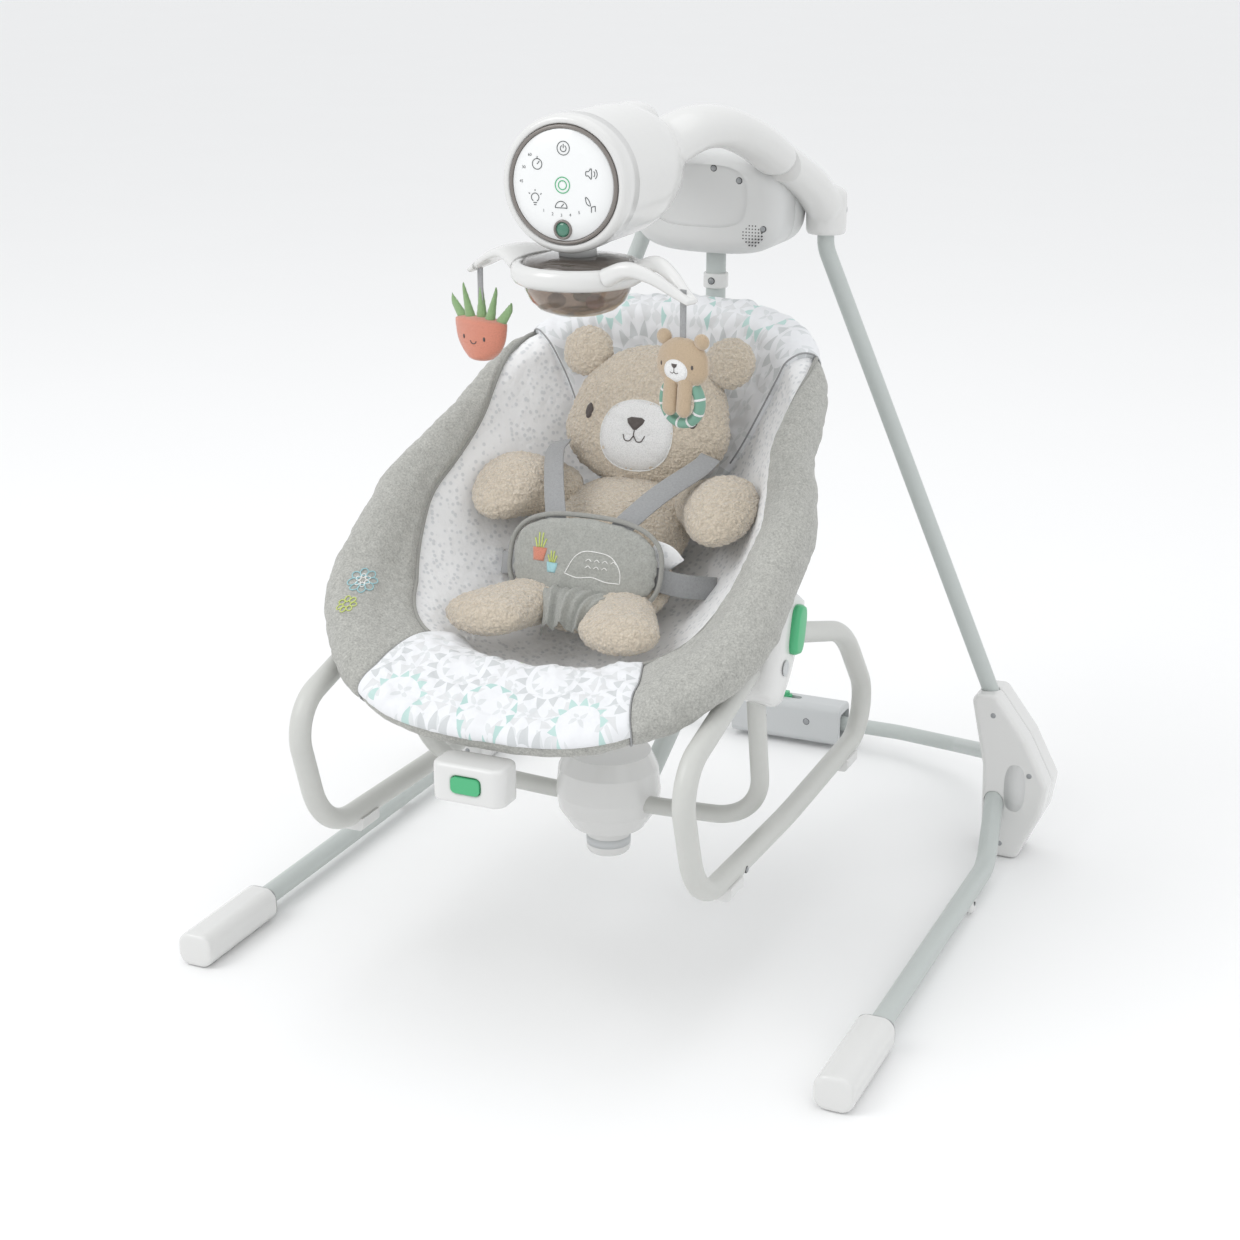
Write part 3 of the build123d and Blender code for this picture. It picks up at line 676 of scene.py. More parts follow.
# v, half length, half width, height, shift up the seat, corner power
PROFILE = np.array([
    (0.00, 0.0005, 0.0005, -0.104, 0.010, 2.0),
    (0.20, 0.085, 0.056, -0.104, 0.010, 2.0),
    (0.36, 0.152, 0.100, -0.094, 0.011, 2.1),
    (0.50, 0.205, 0.138, -0.066, 0.013, 2.4),
    (0.62, 0.243, 0.166, -0.030, 0.012, 2.8),
    (0.72, 0.268, 0.188, -0.002, 0.008, 2.9),
    (0.80, 0.286, 0.204, 0.015, 0.004, 2.8),
    (0.87, 0.303, 0.222, 0.018, 0.001, 2.8),
    (0.92, 0.312, 0.232, 0.007, 0.000, 2.8),
    (0.95, 0.312, 0.232, -0.006, 0.000, 2.8),
    (0.98, 0.300, 0.218, -0.013, 0.000, 2.8),
    (1.01, 0.286, 0.184, -0.020, 0.000, 2.7),
    (1.06, 0.272, 0.176, -0.062, 0.002, 2.5),
    (1.12, 0.226, 0.140, -0.118, 0.004, 2.2),
    (1.18, 0.120, 0.075, -0.131, 0.006, 2.0),
    (1.24, 0.0005, 0.0005, -0.133, 0.010, 2.0)])


def profile(v):
    """The profile's columns at each v, by cubic interpolation."""
    t = PROFILE[:, 0]
    v = np.clip(v, t[0], t[-1])
    slope = np.gradient(PROFILE[:, 1:], t, axis=0)
    i = np.clip(np.searchsorted(t, v) - 1, 0, len(t) - 2)
    h = (t[i + 1] - t[i])
    k = ((v - t[i]) / h)[..., None]
    h = h[..., None]
    a, b = PROFILE[i, 1:], PROFILE[i + 1, 1:]
    return ((2 * k ** 3 - 3 * k ** 2 + 1) * a + (k ** 3 - 2 * k ** 2 + k) * h * slope[i]
            + (3 * k ** 2 - 2 * k ** 3) * b + (k ** 3 - k ** 2) * h * slope[i + 1])


def seat_grid(a, v):
    """Rim coordinates (x, s, n) of the seat's surface at angle a from the front and profile place v."""
    L, W, n, shift, p = np.moveaxis(profile(v), -1, 0)
    sa, ca = np.sin(a), np.cos(a)
    x = W * np.sign(sa) * np.abs(sa) ** (2 / p)
    s = -L * np.sign(ca) * np.abs(ca) ** (2 / p) + shift
    up = np.clip((s + 0.03) / 0.14, 0, 1)
    x = x * (1 - 0.145 * up * up * (3 - 2 * up)) * (1 + 0.05 * np.exp(-((s + 0.17) / 0.07) ** 2))
    front = np.clip(ca, 0, 1) ** 2
    lift = np.exp(-((v - 0.60) / 0.10) ** 2) * 0.030 - np.exp(-((v - 0.84) / 0.08) ** 2) * 0.014
    side = np.abs(sa) ** 3 * np.exp(-((v - 0.86) / 0.10) ** 2)
    rear = np.clip(-ca, 0, 1) ** 2 * np.exp(-((v - 0.86) / 0.08) ** 2) * 0.014
    return x, s, n + front * lift - rear + side * 0.008 * np.clip(1 - ca, 0, 1.2)


def seat_surface(a, v):
    x, s, n = seat_grid(a, v)
    points = (np.array(RIM) + x[..., None] * np.array(XA) + s[..., None] * np.array(SA)
              + n[..., None] * np.array(NA))
    return points, x, s


def panel(name, a, v, puff, thick, lift, mat, wrinkle=0.0, seed=0.0, border=0.10, wrap=False):
    """A padded panel on the seat's surface: a and v are grids of the same shape."""
    pts, x, s = seat_surface(a, v)
    eps = 1e-3
    da = seat_surface(a + eps, v)[0] - pts
    ahead = np.minimum(v + eps, 1.239)                 # stays on the profile at its last point
    dv = seat_surface(a, ahead)[0] - seat_surface(a, ahead - eps)[0]
    normal = np.cross(dv, da)
    length = np.linalg.norm(normal, axis=-1, keepdims=True)
    normal = np.where(length > 1e-12, normal / np.maximum(length, 1e-12), np.array(NA))
    nu, nv = a.shape
    u = np.linspace(0, 1, nu)[:, None] * np.ones((1, nv))
    w = np.ones((nu, 1)) * np.linspace(0, 1, nv)[None, :]
    edge_v = np.minimum(w, 1 - w) / border
    edge_u = np.ones_like(edge_v) if wrap else np.minimum(u, 1 - u) / border
    swell = np.sqrt(np.clip(edge_u, 0, 1)) * np.sqrt(np.clip(edge_v, 0, 1))
    height = lift + puff * swell
    if wrinkle:
        for i in range(nu):
            for j in range(nv):
                p = Vector((x[i, j], s[i, j], seed))
                height[i, j] += wrinkle * swell[i, j] * (noise.fractal(p * 34, 0.6, 2.0, 3)
                                                        + 0.5 * noise.noise(p * 90))
    top = pts + normal * height[..., None]
    low = pts - normal * thick
    verts = [Vector(p) for p in np.concatenate([top.reshape(-1, 3), low.reshape(-1, 3)])]
    faces = []
    half = nu * nv
    rows = nu if wrap else nu - 1
    for i in range(rows):
        j = (i + 1) % nu
        for k in range(nv - 1):
            faces.append((i * nv + k, i * nv + k + 1, j * nv + k + 1, j * nv + k))
            faces.append((half + i * nv + k, half + j * nv + k, half + j * nv + k + 1,
                          half + i * nv + k + 1))
        for k in (0, nv - 1):
            faces.append((i * nv + k, j * nv + k, half + j * nv + k, half + i * nv + k))
    if not wrap:
        for i in (0, nu - 1):
            for k in range(nv - 1):
                faces.append((i * nv + k, i * nv + k + 1, half + i * nv + k + 1, half + i * nv + k))
    obj = mesh_object(name, verts, faces)
    flat = np.stack([x, s], -1).reshape(-1, 2)
    uv = obj.data.uv_layers.new(name="UVMap")
    both = np.concatenate([flat, flat])
    index = np.zeros(len(obj.data.loops), dtype=np.int32)
    obj.data.loops.foreach_get("vertex_index", index)
    uv.data.foreach_set("uv", both[index].astype(np.float32).reshape(-1))
    return finish_piece(obj, mat, "seat")


def seat_line(a, v, lift):
    """Points just above the seat's surface along a line of (a, v)."""
    a, v = np.array(a, float), np.array(v, float)
    pts = seat_surface(a, v)[0]
    eps = 1e-3
    normal = np.cross(seat_surface(a, v + eps)[0] - pts, seat_surface(a + eps, v)[0] - pts)
    normal /= np.linalg.norm(normal, axis=-1, keepdims=True)
    return [Vector(p) for p in pts + normal * lift]


A_HEAD = radians(131)                               # where the head panel meets a wing


def front_line(v):
    """Angle from the front where the front panel meets a wing, at profile place v."""
    return radians(38) - radians(9) * np.clip((v - 0.58) / 0.4, 0, 1)


def wing_seam(t):
    """Profile place of the wing's inner seam, t from the front panel to the head panel."""
    return 0.60 + 0.10 * t ** 0.8 + 0.215 * np.clip((t - 0.30) / 0.70, 0, 1) ** 1.25


def seat_wing(side):
    """A padded side of the seat, with the piping along its inner seam."""
    nu, nv = ((190, 70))
    t = np.linspace(0, 1, nu)[:, None]
    w = np.linspace(0, 1, nv)[None, :]
    v = wing_seam(t) + (1.005 - wing_seam(t)) * w
    a = front_line(v) + (A_HEAD - front_line(v)) * t
    name = f"seat_wing_{TAG[side]}"
    obj = panel(name, side * a, v, 0.0065, 0.004, 0.002, "heather", 0.0016, 3.0 * side,
                0.08)
    t = np.linspace(0, 1, 90)
    v = wing_seam(t)
    a = front_line(v) + (A_HEAD - front_line(v)) * t
    line = seat_line(side * a, v, 0.0035)
    pipe = sweep(name.replace("wing", "piping"), line, (0.0023, 0.0023), sides=10)
    finish_piece(pipe, "piping", "seat")
    return obj


wings = [seat_wing(1), seat_wing(-1)]

nu, nv = ((170, 110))
t = np.linspace(-1, 1, nu)[:, None]
w = np.linspace(0, 1, nv)[None, :]
v = 0.36 + (1.02 - 0.36) * w
head_panel = panel("head_panel", pi + t * (pi - A_HEAD) * np.ones_like(v), v + 0 * t,
                   0.0035, 0.0035, 0.0055, "cotton", 0.0026, 7.0, 0.07)
v = 0.52 + (0.925 - 0.52) * w
front_panel = panel("front_panel", t * front_line(v), v + 0 * t, 0.0045, 0.0035, 0.0045,
                    "cotton", 0.0034, 1.0, 0.07)

nu, nv = ((220, 80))
a = np.linspace(0, 2 * pi, nu, endpoint=False)[:, None]
w = np.linspace(0, 1, nv)[None, :]
v = 0.004 + (0.93 - 0.004) * w + 0 * a
liner = panel("seat_liner", a + 0 * w, v, 0.0, 0.003, 0.0, "liner", 0.0015, 5.0, 0.05,
              True)
v = 0.985 + (1.235 - 0.985) * w + 0 * a
shell = panel("seat_back", a + 0 * w, v, 0.0015, 0.003, -0.0005, "heather", 0.0016, 9.0,
              0.05, True)
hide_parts("seat_bucket")

wire = sweep("rim_wire", seat_line(np.linspace(0, 2 * pi, 200, endpoint=False), np.full(200, 0.90),
                                   -0.0105), (0.0045, 0.0045), closed=True, sides=12)
finish_piece(wire, "steel", "seat", ["seat_frame"])
border_v = 0.920 + (1.005 - 0.920) * np.linspace(0, 1, 26)[None, :]
border = panel("front_border", np.linspace(-1, 1, 90)[:, None] * front_line(border_v),
               border_v + np.zeros((90, 1)), 0.0026, 0.003, 0.0026,
               "heather", 0.0010, 2.0, 0.2)
for side in (-1, 1):
    v = np.linspace(0.60, 0.99, 40)
    seam = sweep(f"front_seam_{TAG[side]}", seat_line(side * front_line(v), v, 0.004),
                 (0.0010, 0.0010), sides=8)
    finish_piece(seam, "web", "seat")
    v = np.linspace(0.46, 1.0, 50)
    seam = sweep(f"head_seam_{TAG[side]}", seat_line(np.full(50, pi + side * (pi - A_HEAD)), v, 0.005),
                 (0.0010, 0.0010), sides=8)
    finish_piece(seam, "web", "seat")

# small stitched flowers on the left wing
wing_tree = tree_of(wings[1])


def on_wing(a, v, dx, du):
    """A point on the left wing, dx and du away from the place (a, v)."""
    base = seat_line([-a], [v], 0.0)[0]
    ahead = (seat_line([-a - 0.02], [v], 0.0)[0] - base).normalized()
    across = (seat_line([-a], [v + 0.01], 0.0)[0] - base).normalized()
    out = across.cross(ahead).normalized()
    if out.dot(NA) < 0:
        out = -out
    p = base + ahead * dx + across * du
    hit, _, _, _ = wing_tree.ray_cast(p + out * 0.05, -out, 0.1)
    return (hit or p) + out * 0.0006


def flower(name, a, v, dx, du, radius, petals, mat, body="seat"):
    """Stitched loops round a centre."""
    loops = []
    for k in range(petals):
        angle = 2 * pi * k / petals
        pts = []
        for m in range(10):
            b = 2 * pi * m / 10
            r, q = radius * (0.62 + 0.30 * cos(b)), radius * 0.24 * sin(b)
            pts.append(on_wing(a, v, dx + r * cos(angle) - q * sin(angle),
                               du + r * sin(angle) + q * cos(angle)))
        loops.append(sweep(name, spline(pts, 3, True), (0.0006, 0.0006), closed=True, sides=6))
    obj = joined(name, loops)
    finish_piece(obj, mat, body)


flower("stitched_flower_a", radians(62), 0.80, 0.0, 0.0, 0.017, 8, "blue_thread")
flower("stitched_flower_b", radians(62), 0.80, 0.0, 0.0, 0.009, 6, "white_thread")
flower("stitched_flower_c", radians(62), 0.80, -0.029, 0.012, 0.011, 7, "lime_thread")

# ---------------------------------------------------------------------------- bear support

HEAD_TILT = radians(24)
HB = st(0, 0.050, 0.545)
HU = Vector((0, sin(HEAD_TILT), cos(HEAD_TILT)))
HN = Vector((0, -cos(HEAD_TILT), sin(HEAD_TILT)))
head_turn = Matrix((XA, HU, HN)).transposed()
seat_turn = Matrix((XA, SA, NA)).transposed()


def hp(x, u, w=0.0):
    """A point from the middle of the bear's head."""
    return HB + XA * x + HU * u + HN * w


def bear_part(name, parts, voxel=0.004, cap=0.005, rounds=6, mat="bear", curl=0.0016):
    """A stuffed part of the plush bear, from overlapping balls."""
    obj = blob(name, parts, voxel, rounds)
    puffed(obj, 4.0, cap)
    subdivided(obj)
    if curl:
        crumpled(obj, 0.0042, curl, 2.0)
    return finish_piece(obj, mat, "seat")


bear_head = bear_part("bear_head", [(hp(0, 0.002), (0.090, 0.078, 0.032), head_turn),
                                    (hp(0, -0.014), (0.095, 0.062, 0.032), head_turn)])
for side in (-1, 1):
    tag = TAG[side]
    ear = bear_part(f"bear_ear_{tag}", [(hp(side * 0.082, 0.066, 0.004), (0.029, 0.028, 0.015), head_turn)],
                    0.003, 0.003)
    arm = bear_part(f"bear_arm_{tag}", chain([
        (sp(side * 0.082, 0.060, -0.050), (0.028, 0.030, 0.019), seat_turn),
        (sp(side * 0.108, 0.044, -0.034), (0.034, 0.042, 0.020), seat_turn),
        (sp(side * 0.122, 0.030, -0.022), (0.038, 0.048, 0.020), seat_turn)]))
    leg = bear_part(f"bear_leg_{tag}", chain([
        (sp(side * 0.046, -0.088, -0.058), (0.034, 0.030, 0.018), seat_turn),
        (sp(side * 0.062, -0.118, -0.040), (0.038, 0.028, 0.019), seat_turn),
        (sp(side * 0.074, -0.146, -0.022), (0.044, 0.026, 0.017), seat_turn)]))
bear_torso = bear_part("bear_torso", [(sp(0, 0.020, -0.064), (0.084, 0.086, 0.028), seat_turn),
                                      (sp(0, -0.050, -0.064), (0.090, 0.070, 0.028), seat_turn)])
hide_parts("bear_support")

face = Face(bear_head, HB, XA, HU, 0.0003)
muzzle = face.patch("bear_muzzle", ellipse_line(0, -0.024, 0.041, 0.037, 44, 2.3), 0.0032)
finish_piece(muzzle, "muzzle", "seat")
rim = face.stitch("bear_muzzle_edge", ellipse_line(0, -0.024, 0.041, 0.037, 44, 2.3), 0.0006, True, 2)
finish_piece(rim, "white_thread", "seat")
for side in (-1, 1):
    eye = face.patch(f"bear_eye_{TAG[side]}", ellipse_line(side * 0.060, -0.002, 0.0046, 0.0086, 20),
                     0.0022)
    finish_piece(eye, "thread", "seat")
snout = Face(muzzle, HB, XA, HU, 0.0003)
nose = snout.patch("bear_nose", [(-0.010, -0.0085), (-0.006, -0.0060), (0.006, -0.0060), (0.010, -0.0085),
                                 (0.0085, -0.013), (0.002, -0.0195), (-0.002, -0.0195), (-0.0085, -0.013)],
                   0.0022)
finish_piece(nose, "thread", "seat")
mouth = [snout.stitch("m", [(0, -0.019), (0, -0.026)], 0.0006)]
for side in (-1, 1):
    mouth.append(snout.stitch("m", [(0, -0.026), (side * 0.004, -0.0315), (side * 0.0095, -0.031),
                                    (side * 0.0125, -0.025)], 0.0006))
finish_piece(joined("bear_mouth", mouth), "thread", "seat")

# ---------------------------------------------------------------------------- waist pad and harness

WC = st(0, -0.122, 0.432)
WN = Vector((0, -0.956, 0.292)).normalized()
WU = Vector((0, 0.292, 0.956)).normalized()


def wp(x, u, w=0.0):
    """A point from the middle of the waist pad, which bends round the bear."""
    return WC + XA * x + WU * u + WN * (w - 0.9 * x * x)


def cushion(name, outline, centre, depth, rings=10):
    """A crowned form inside an outline; centre turns (x, u, w) into a point."""
    verts, faces = [], []
    n = len(outline)
    for sign in (1, -1):
        for r in range(rings + 1):
            k = 1e-3 + r / rings * 0.999
            for x, u in outline:
                verts.append(centre(x * k, u * k, sign * depth * sqrt(max(0.0, 1 - k ** 5)) * 0.5))
    half = (rings + 1) * n
    for base in (0, half):
        for r in range(rings):
            for k in range(n):
                m = (k + 1) % n
                faces.append((base + r * n + k, base + r * n + m, base + (r + 1) * n + m,
                              base + (r + 1) * n + k))
        faces.append(tuple(base + k for k in range(n)))
    return welded(mesh_object(name, verts, faces), 1e-5, False)


PAD = ellipse_line(0, 0, 0.0830, 0.0470, 72, 2.8)
pad = remeshed(cushion("waist_cushion", PAD, wp, 0.016), 0.0035, 4)
puffed(pad, 4.0, 0.004)
subdivided(pad)
crumpled(pad, 0.03, 0.0012, 4.0)
finish_piece(pad, "pad", "seat", ["waist_pad"])
pipe = sweep("waist_piping", spline([wp(x * 1.02, u * 1.03) for x, u in PAD], 2, True), (0.0026, 0.0026),
             closed=True, sides=10)
finish_piece(pipe, "piping", "seat")

front = Face(pad, WC, XA, WU, 0.0003)
marks = {"coral": [(-0.046, 0.004, 0.0085)], "blue_thread": [(-0.030, -0.008, 0.0065)]}
for mat, pots in marks.items():
    for x, u, r in pots:
        pot = front.patch(f"stitched_pot_{mat}",
                          [(x - r, u + r * 0.8), (x + r, u + r * 0.8), (x + r * 0.7, u - r * 0.8),
                           (x - r * 0.7, u - r * 0.8)],
                          0.0006, 3)
        finish_piece(pot, mat, "seat")
        leaves = [front.stitch("l", [(x + dx * r * 0.4, u + r * 0.8),
                                     (x + dx * r * 0.8, u + r * (1.7 + h))], 0.0008)
                  for dx, h in ((-1.0, 0.2), (-0.35, 0.9), (0.35, 0.9), (1.0, 0.2))]
        finish_piece(joined(f"stitched_leaves_{mat}", leaves), "lime_thread", "seat")
hills = [front.stitch("h", [(-0.014, -0.012), (-0.006, 0.004), (0.004, 0.012), (0.018, 0.013),
                            (0.034, 0.010), (0.045, -0.002), (0.047, -0.016)], 0.0006),
         front.stitch("h", [(-0.014, -0.012), (0.0, -0.015), (0.016, -0.013), (0.032, -0.016),
                            (0.047, -0.016)], 0.0006)]
for k in range(7):
    x = 0.008 + (k % 4) * 0.009
    u = 0.003 - (k // 4) * 0.007
    hills.append(front.stitch("h", [(x, u), (x + 0.003, u + 0.0022), (x + 0.006, u)], 0.0005))
finish_piece(joined("stitched_hills", hills), "white_thread", "seat")

# crotch piece, gathered under the pad
verts, faces = [], []
NU, NV = 40, 24
for sign in (1, -1):
    for i in range(NU + 1):
        x = i / NU * 2 - 1
        for j in range(NV + 1):
            t = j / NV
            p = Vector(wp(0, -0.026, -0.004)).lerp(st(0, -0.178, 0.382), t)
            wide = 0.052 - 0.026 * sin(pi * min(1, t * 1.1) / 2)
            fold = 0.0045 * sin(x * 9 + 1.2 * t) * (0.25 + t) + 0.002 * sin(x * 21)
            drop = -0.010 * x * x * (0.4 + t)
            verts.append(p + XA * (x * wide) + NA * (fold + drop + sign * 0.0011 + 0.016 * sin(pi * t)))
half = (NU + 1) * (NV + 1)
for base in (0, half):
    for i in range(NU):
        for j in range(NV):
            k = base + i * (NV + 1) + j
            faces.append((k, k + 1, k + NV + 2, k + NV + 1))
ring_ids = ([i * (NV + 1) for i in range(NU + 1)] + [NU * (NV + 1) + j for j in range(1, NV + 1)]
            + [i * (NV + 1) + NV for i in range(NU - 1, -1, -1)] + [j for j in range(NV - 1, 0, -1)])
for a_, b_ in zip(ring_ids, ring_ids[1:] + ring_ids[:1]):
    faces.append((a_, b_, half + b_, half + a_))
crotch = mesh_object("crotch_piece", verts, faces)
finish_piece(crotch, "pad", "seat")

for side in (-1, 1):
    tag = TAG[side]
    path = spline(mirrored(side, (0.086, 0.012, 0.520), (0.082, -0.014, 0.513), (0.060, -0.062, 0.496),
                           (0.040, -0.100, 0.474), (0.034, -0.110, 0.462)), 8)
    strap = ribbon(f"shoulder_strap_{tag}", path, 0.023, 0.0019, (side * 0.15, -0.72, 0.66))
    finish_piece(strap, "web", "seat")
    path = spline(mirrored(side, (0.066, -0.108, 0.424), (0.085, -0.108, 0.419), (0.104, -0.094, 0.412),
                           (0.122, -0.060, 0.402)), 8)
    strap = ribbon(f"waist_strap_{tag}", path, 0.024, 0.0019, (side * 0.55, -0.80, 0.25))
    finish_piece(strap, "web", "seat")
    if side > 0:
        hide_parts("harness_straps")
slot_plate = ribbon("buckle_tail", spline([wp(0.070, 0.020, -0.006), wp(0.083, 0.016, -0.012),
                                           wp(0.090, 0.008, -0.018)], 5), 0.026, 0.003, tuple(WN))
finish_piece(slot_plate, "liner", "seat")

# ---------------------------------------------------------------------------- head

BZ, BF = 0.818, -0.160                              # height of the drum, station of its front
HC = st(0, 0, BZ)
drum = lathe("head_drum", [(0.0572, BF + 0.010), (0.0572, BF + 0.0012), (0.0585, BF), (0.0615, BF + 0.0002),
                           (0.0640, BF + 0.0022), (0.0655, BF + 0.0060), (0.0658, BF + 0.012),
                           (0.0658, -0.1285), (0.0645, -0.1275), (0.0560, -0.1275),
                           (0.0560, BF + 0.010)], st(0, 0, BZ), "Y", 128)
finish_piece(drum, "white", "head")

balls = []
for k in range(56):
    y = -0.130 + 0.0030 * k
    r = 0.0652 if y < -0.05 else 0.0652 * sqrt(max(0.02, 1 - ((y + 0.05) / 0.100) ** 2))
    balls.append((st(0, y, BZ), (r, 0.030, r), None))
for side in (-1, 1):
    arm = spline(mirrored(side, (0.020, -0.040, 0.822), (0.029, 0.020, 0.838), (0.040, 0.070, 0.849),
                          (0.052, 0.120, 0.846), (0.068, 0.166, 0.829), (0.079, 0.203, 0.808)), 14)
    for i, p in enumerate(arm):
        t = i / (len(arm) - 1)
        ahead = (arm[min(i + 1, len(arm) - 1)] - arm[max(i - 1, 0)]).normalized()
        across = Vector((0.96, 0, side * -0.28)).normalized()
        top = across.cross(ahead).normalized()
        across = ahead.cross(top).normalized()
        turn = Matrix((across, ahead, top)).transposed()
        balls.append((p, (0.030 - 0.001 * t, 0.014, 0.0215), turn))
cover = trimmed(blob("head_cover", balls, 0.0026, 14),
                (st(0, -0.1268, 0), (0, -1, 0)), (st(0, 0.2045, 0), (0, 1, 0)))
finish_piece(cover, "white", "head", ["barrel_shell", "head_arm_right", "head_arm_left"])

# front face: smoked ring, white disc, printed marks and the green lens
bezel = lathe("face_ring", [(0.0529, BF + 0.004), (0.0531, BF - 0.0004), (0.0538, BF - 0.0014),
                            (0.0555, BF - 0.0015), (0.0566, BF + 0.0004),
                            (0.0568, BF + 0.008), (0.0529, BF + 0.008)], HC, "Y", 128)
finish_piece(bezel, "ring", "head", ["bezel_ring"])
dome = lathe("face_disc", [(0.0530, BF + 0.006), (0.0528, BF + 0.0006), (0.0521, BF - 0.0004),
                           (0.035, BF - 0.0010), (0.0001, BF - 0.0013)], HC, "Y", 128)
finish_piece(dome, "panel", "head", ["control_panel"])
panel_face = Face(dome, HC + Vector((0, BF, 0)), XA, Vector((0, 0, 1)), 0.0001)


def icon(name, strokes, mat="ink", radius=0.00042):
    """A mark on the control face from (points, closed) strokes."""
    parts = [panel_face.stitch("i", pts, radius, closed, 3) for pts, closed in strokes]
    return finish_piece(joined(name, parts), mat, "head")


def arc(cx, cu, r, start, stop, count=14):
    return [(cx + r * cos(radians(start + (stop - start) * k / (count - 1))),
             cu + r * sin(radians(start + (stop - start) * k / (count - 1)))) for k in range(count)]


def circle(cx, cu, r):
    return (arc(cx, cu, r, 0, 340, 18), True)


icon("mark_power", [circle(0.001, 0.0345, 0.0064), (arc(0.001, 0.0342, 0.0030, 120, 420, 12), False),
                    ([(0.001, 0.0345), (0.001, 0.0385)], False)])
icon("mark_timer", [circle(-0.0265, 0.0185, 0.0050), ([(-0.0265, 0.0185), (-0.0242, 0.0212)], False),
                    ([(-0.0265, 0.0235), (-0.0265, 0.0258)], False)])
icon("mark_sound", [([(0.0245, 0.0140), (0.0270, 0.0140), (0.0300, 0.0170), (0.0300, 0.0070),
                      (0.0270, 0.0100), (0.0245, 0.0100)], True),
                    (arc(0.0300, 0.0120, 0.0036, -45, 45, 8), False),
                    (arc(0.0300, 0.0120, 0.0060, -45, 45, 8), False)])
icon("mark_light", [(arc(-0.0290, -0.0130, 0.0040, -60, 240, 12), False),
                    ([(-0.0308, -0.0180), (-0.0272, -0.0180)], False),
                    ([(-0.0302, -0.0200), (-0.0278, -0.0200)], False),
                    ([(-0.0290, -0.0070), (-0.0290, -0.0055)], False),
                    ([(-0.0345, -0.0100), (-0.0358, -0.0090)], False),
                    ([(-0.0235, -0.0100), (-0.0222, -0.0090)], False)])
icon("mark_speed", [(arc(-0.0015, -0.0215, 0.0062, 0, 180, 14), False),
                    ([(-0.0077, -0.0215), (0.0047, -0.0215)], False),
                    ([(-0.0015, -0.0205), (0.0012, -0.0175)], False)])
icon("mark_nature", [([(0.0240, -0.0100), (0.0275, -0.0130), (0.0290, -0.0180), (0.0250, -0.0160)], True),
                     ([(0.0300, -0.0190), (0.0300, -0.0240)], False),
                     ([(0.0340, -0.0180), (0.0340, -0.0230)], False),
                     ([(0.0300, -0.0190), (0.0340, -0.0180)], False)])
icon("mark_ring", [(arc(0, 0, 0.0075, 0, 340, 20), True), (arc(0, 0, 0.0042, 0, 340, 16), True)], "green",
     0.0005)


def printed(text, x, u, size):
    """A number on the control face."""
    curve = bpy.data.curves.new("digit_" + text, "FONT")
    curve.body = text
    curve.size = size
    curve.align_x = curve.align_y = "CENTER"
    obj = bpy.data.objects.new("digit_" + text, curve)
    bpy.context.scene.collection.objects.link(obj)
    bpy.context.view_layer.update()
    mesh = bpy.data.meshes.new_from_object(obj.evaluated_get(bpy.context.evaluated_depsgraph_get()))
    bpy.data.objects.remove(obj)
    place = panel_face.at(x, u) + Vector((0, -0.00015, 0))
    mesh.transform(Matrix.Translation(place) @ Matrix.Rotation(pi / 2, 4, "X"))
    out = bpy.data.objects.new("mark_digit_" + text, mesh)
    bpy.context.scene.collection.objects.link(out)
    finish_piece(out, "ink", "head", smooth=False)


for k, drop in enumerate((0.0250, 0.0278, 0.0286, 0.0278, 0.0250)):
    printed(str(k + 1), -0.0200 + 0.0093 * k, -drop, 0.0042)
for text, angle in (("30", 160), ("45", 178), ("60", 142)):
    printed(text, 0.0435 * cos(radians(angle)), 0.0435 * sin(radians(angle)), 0.0040)

lens_face = BF - 0.0012
collar = lathe("lens_collar", [(0.0072, 0.004), (0.0072, -0.0010), (0.0082, -0.0018), (0.0094, -0.0010),
                               (0.0097, 0.0012), (0.0097, 0.004)],
               st(0, lens_face, BZ - 0.042), "Y", 48)
finish_piece(collar, "ring", "head")
lens = lathe("power_lens", [(0.0073, 0.003), (0.0072, 0.0000), (0.0050, -0.0012), (0.0001, -0.0019)],
             st(0, lens_face, BZ - 0.042), "Y", 48)
finish_piece(lens, "lens", "head", ["panel_lens"])

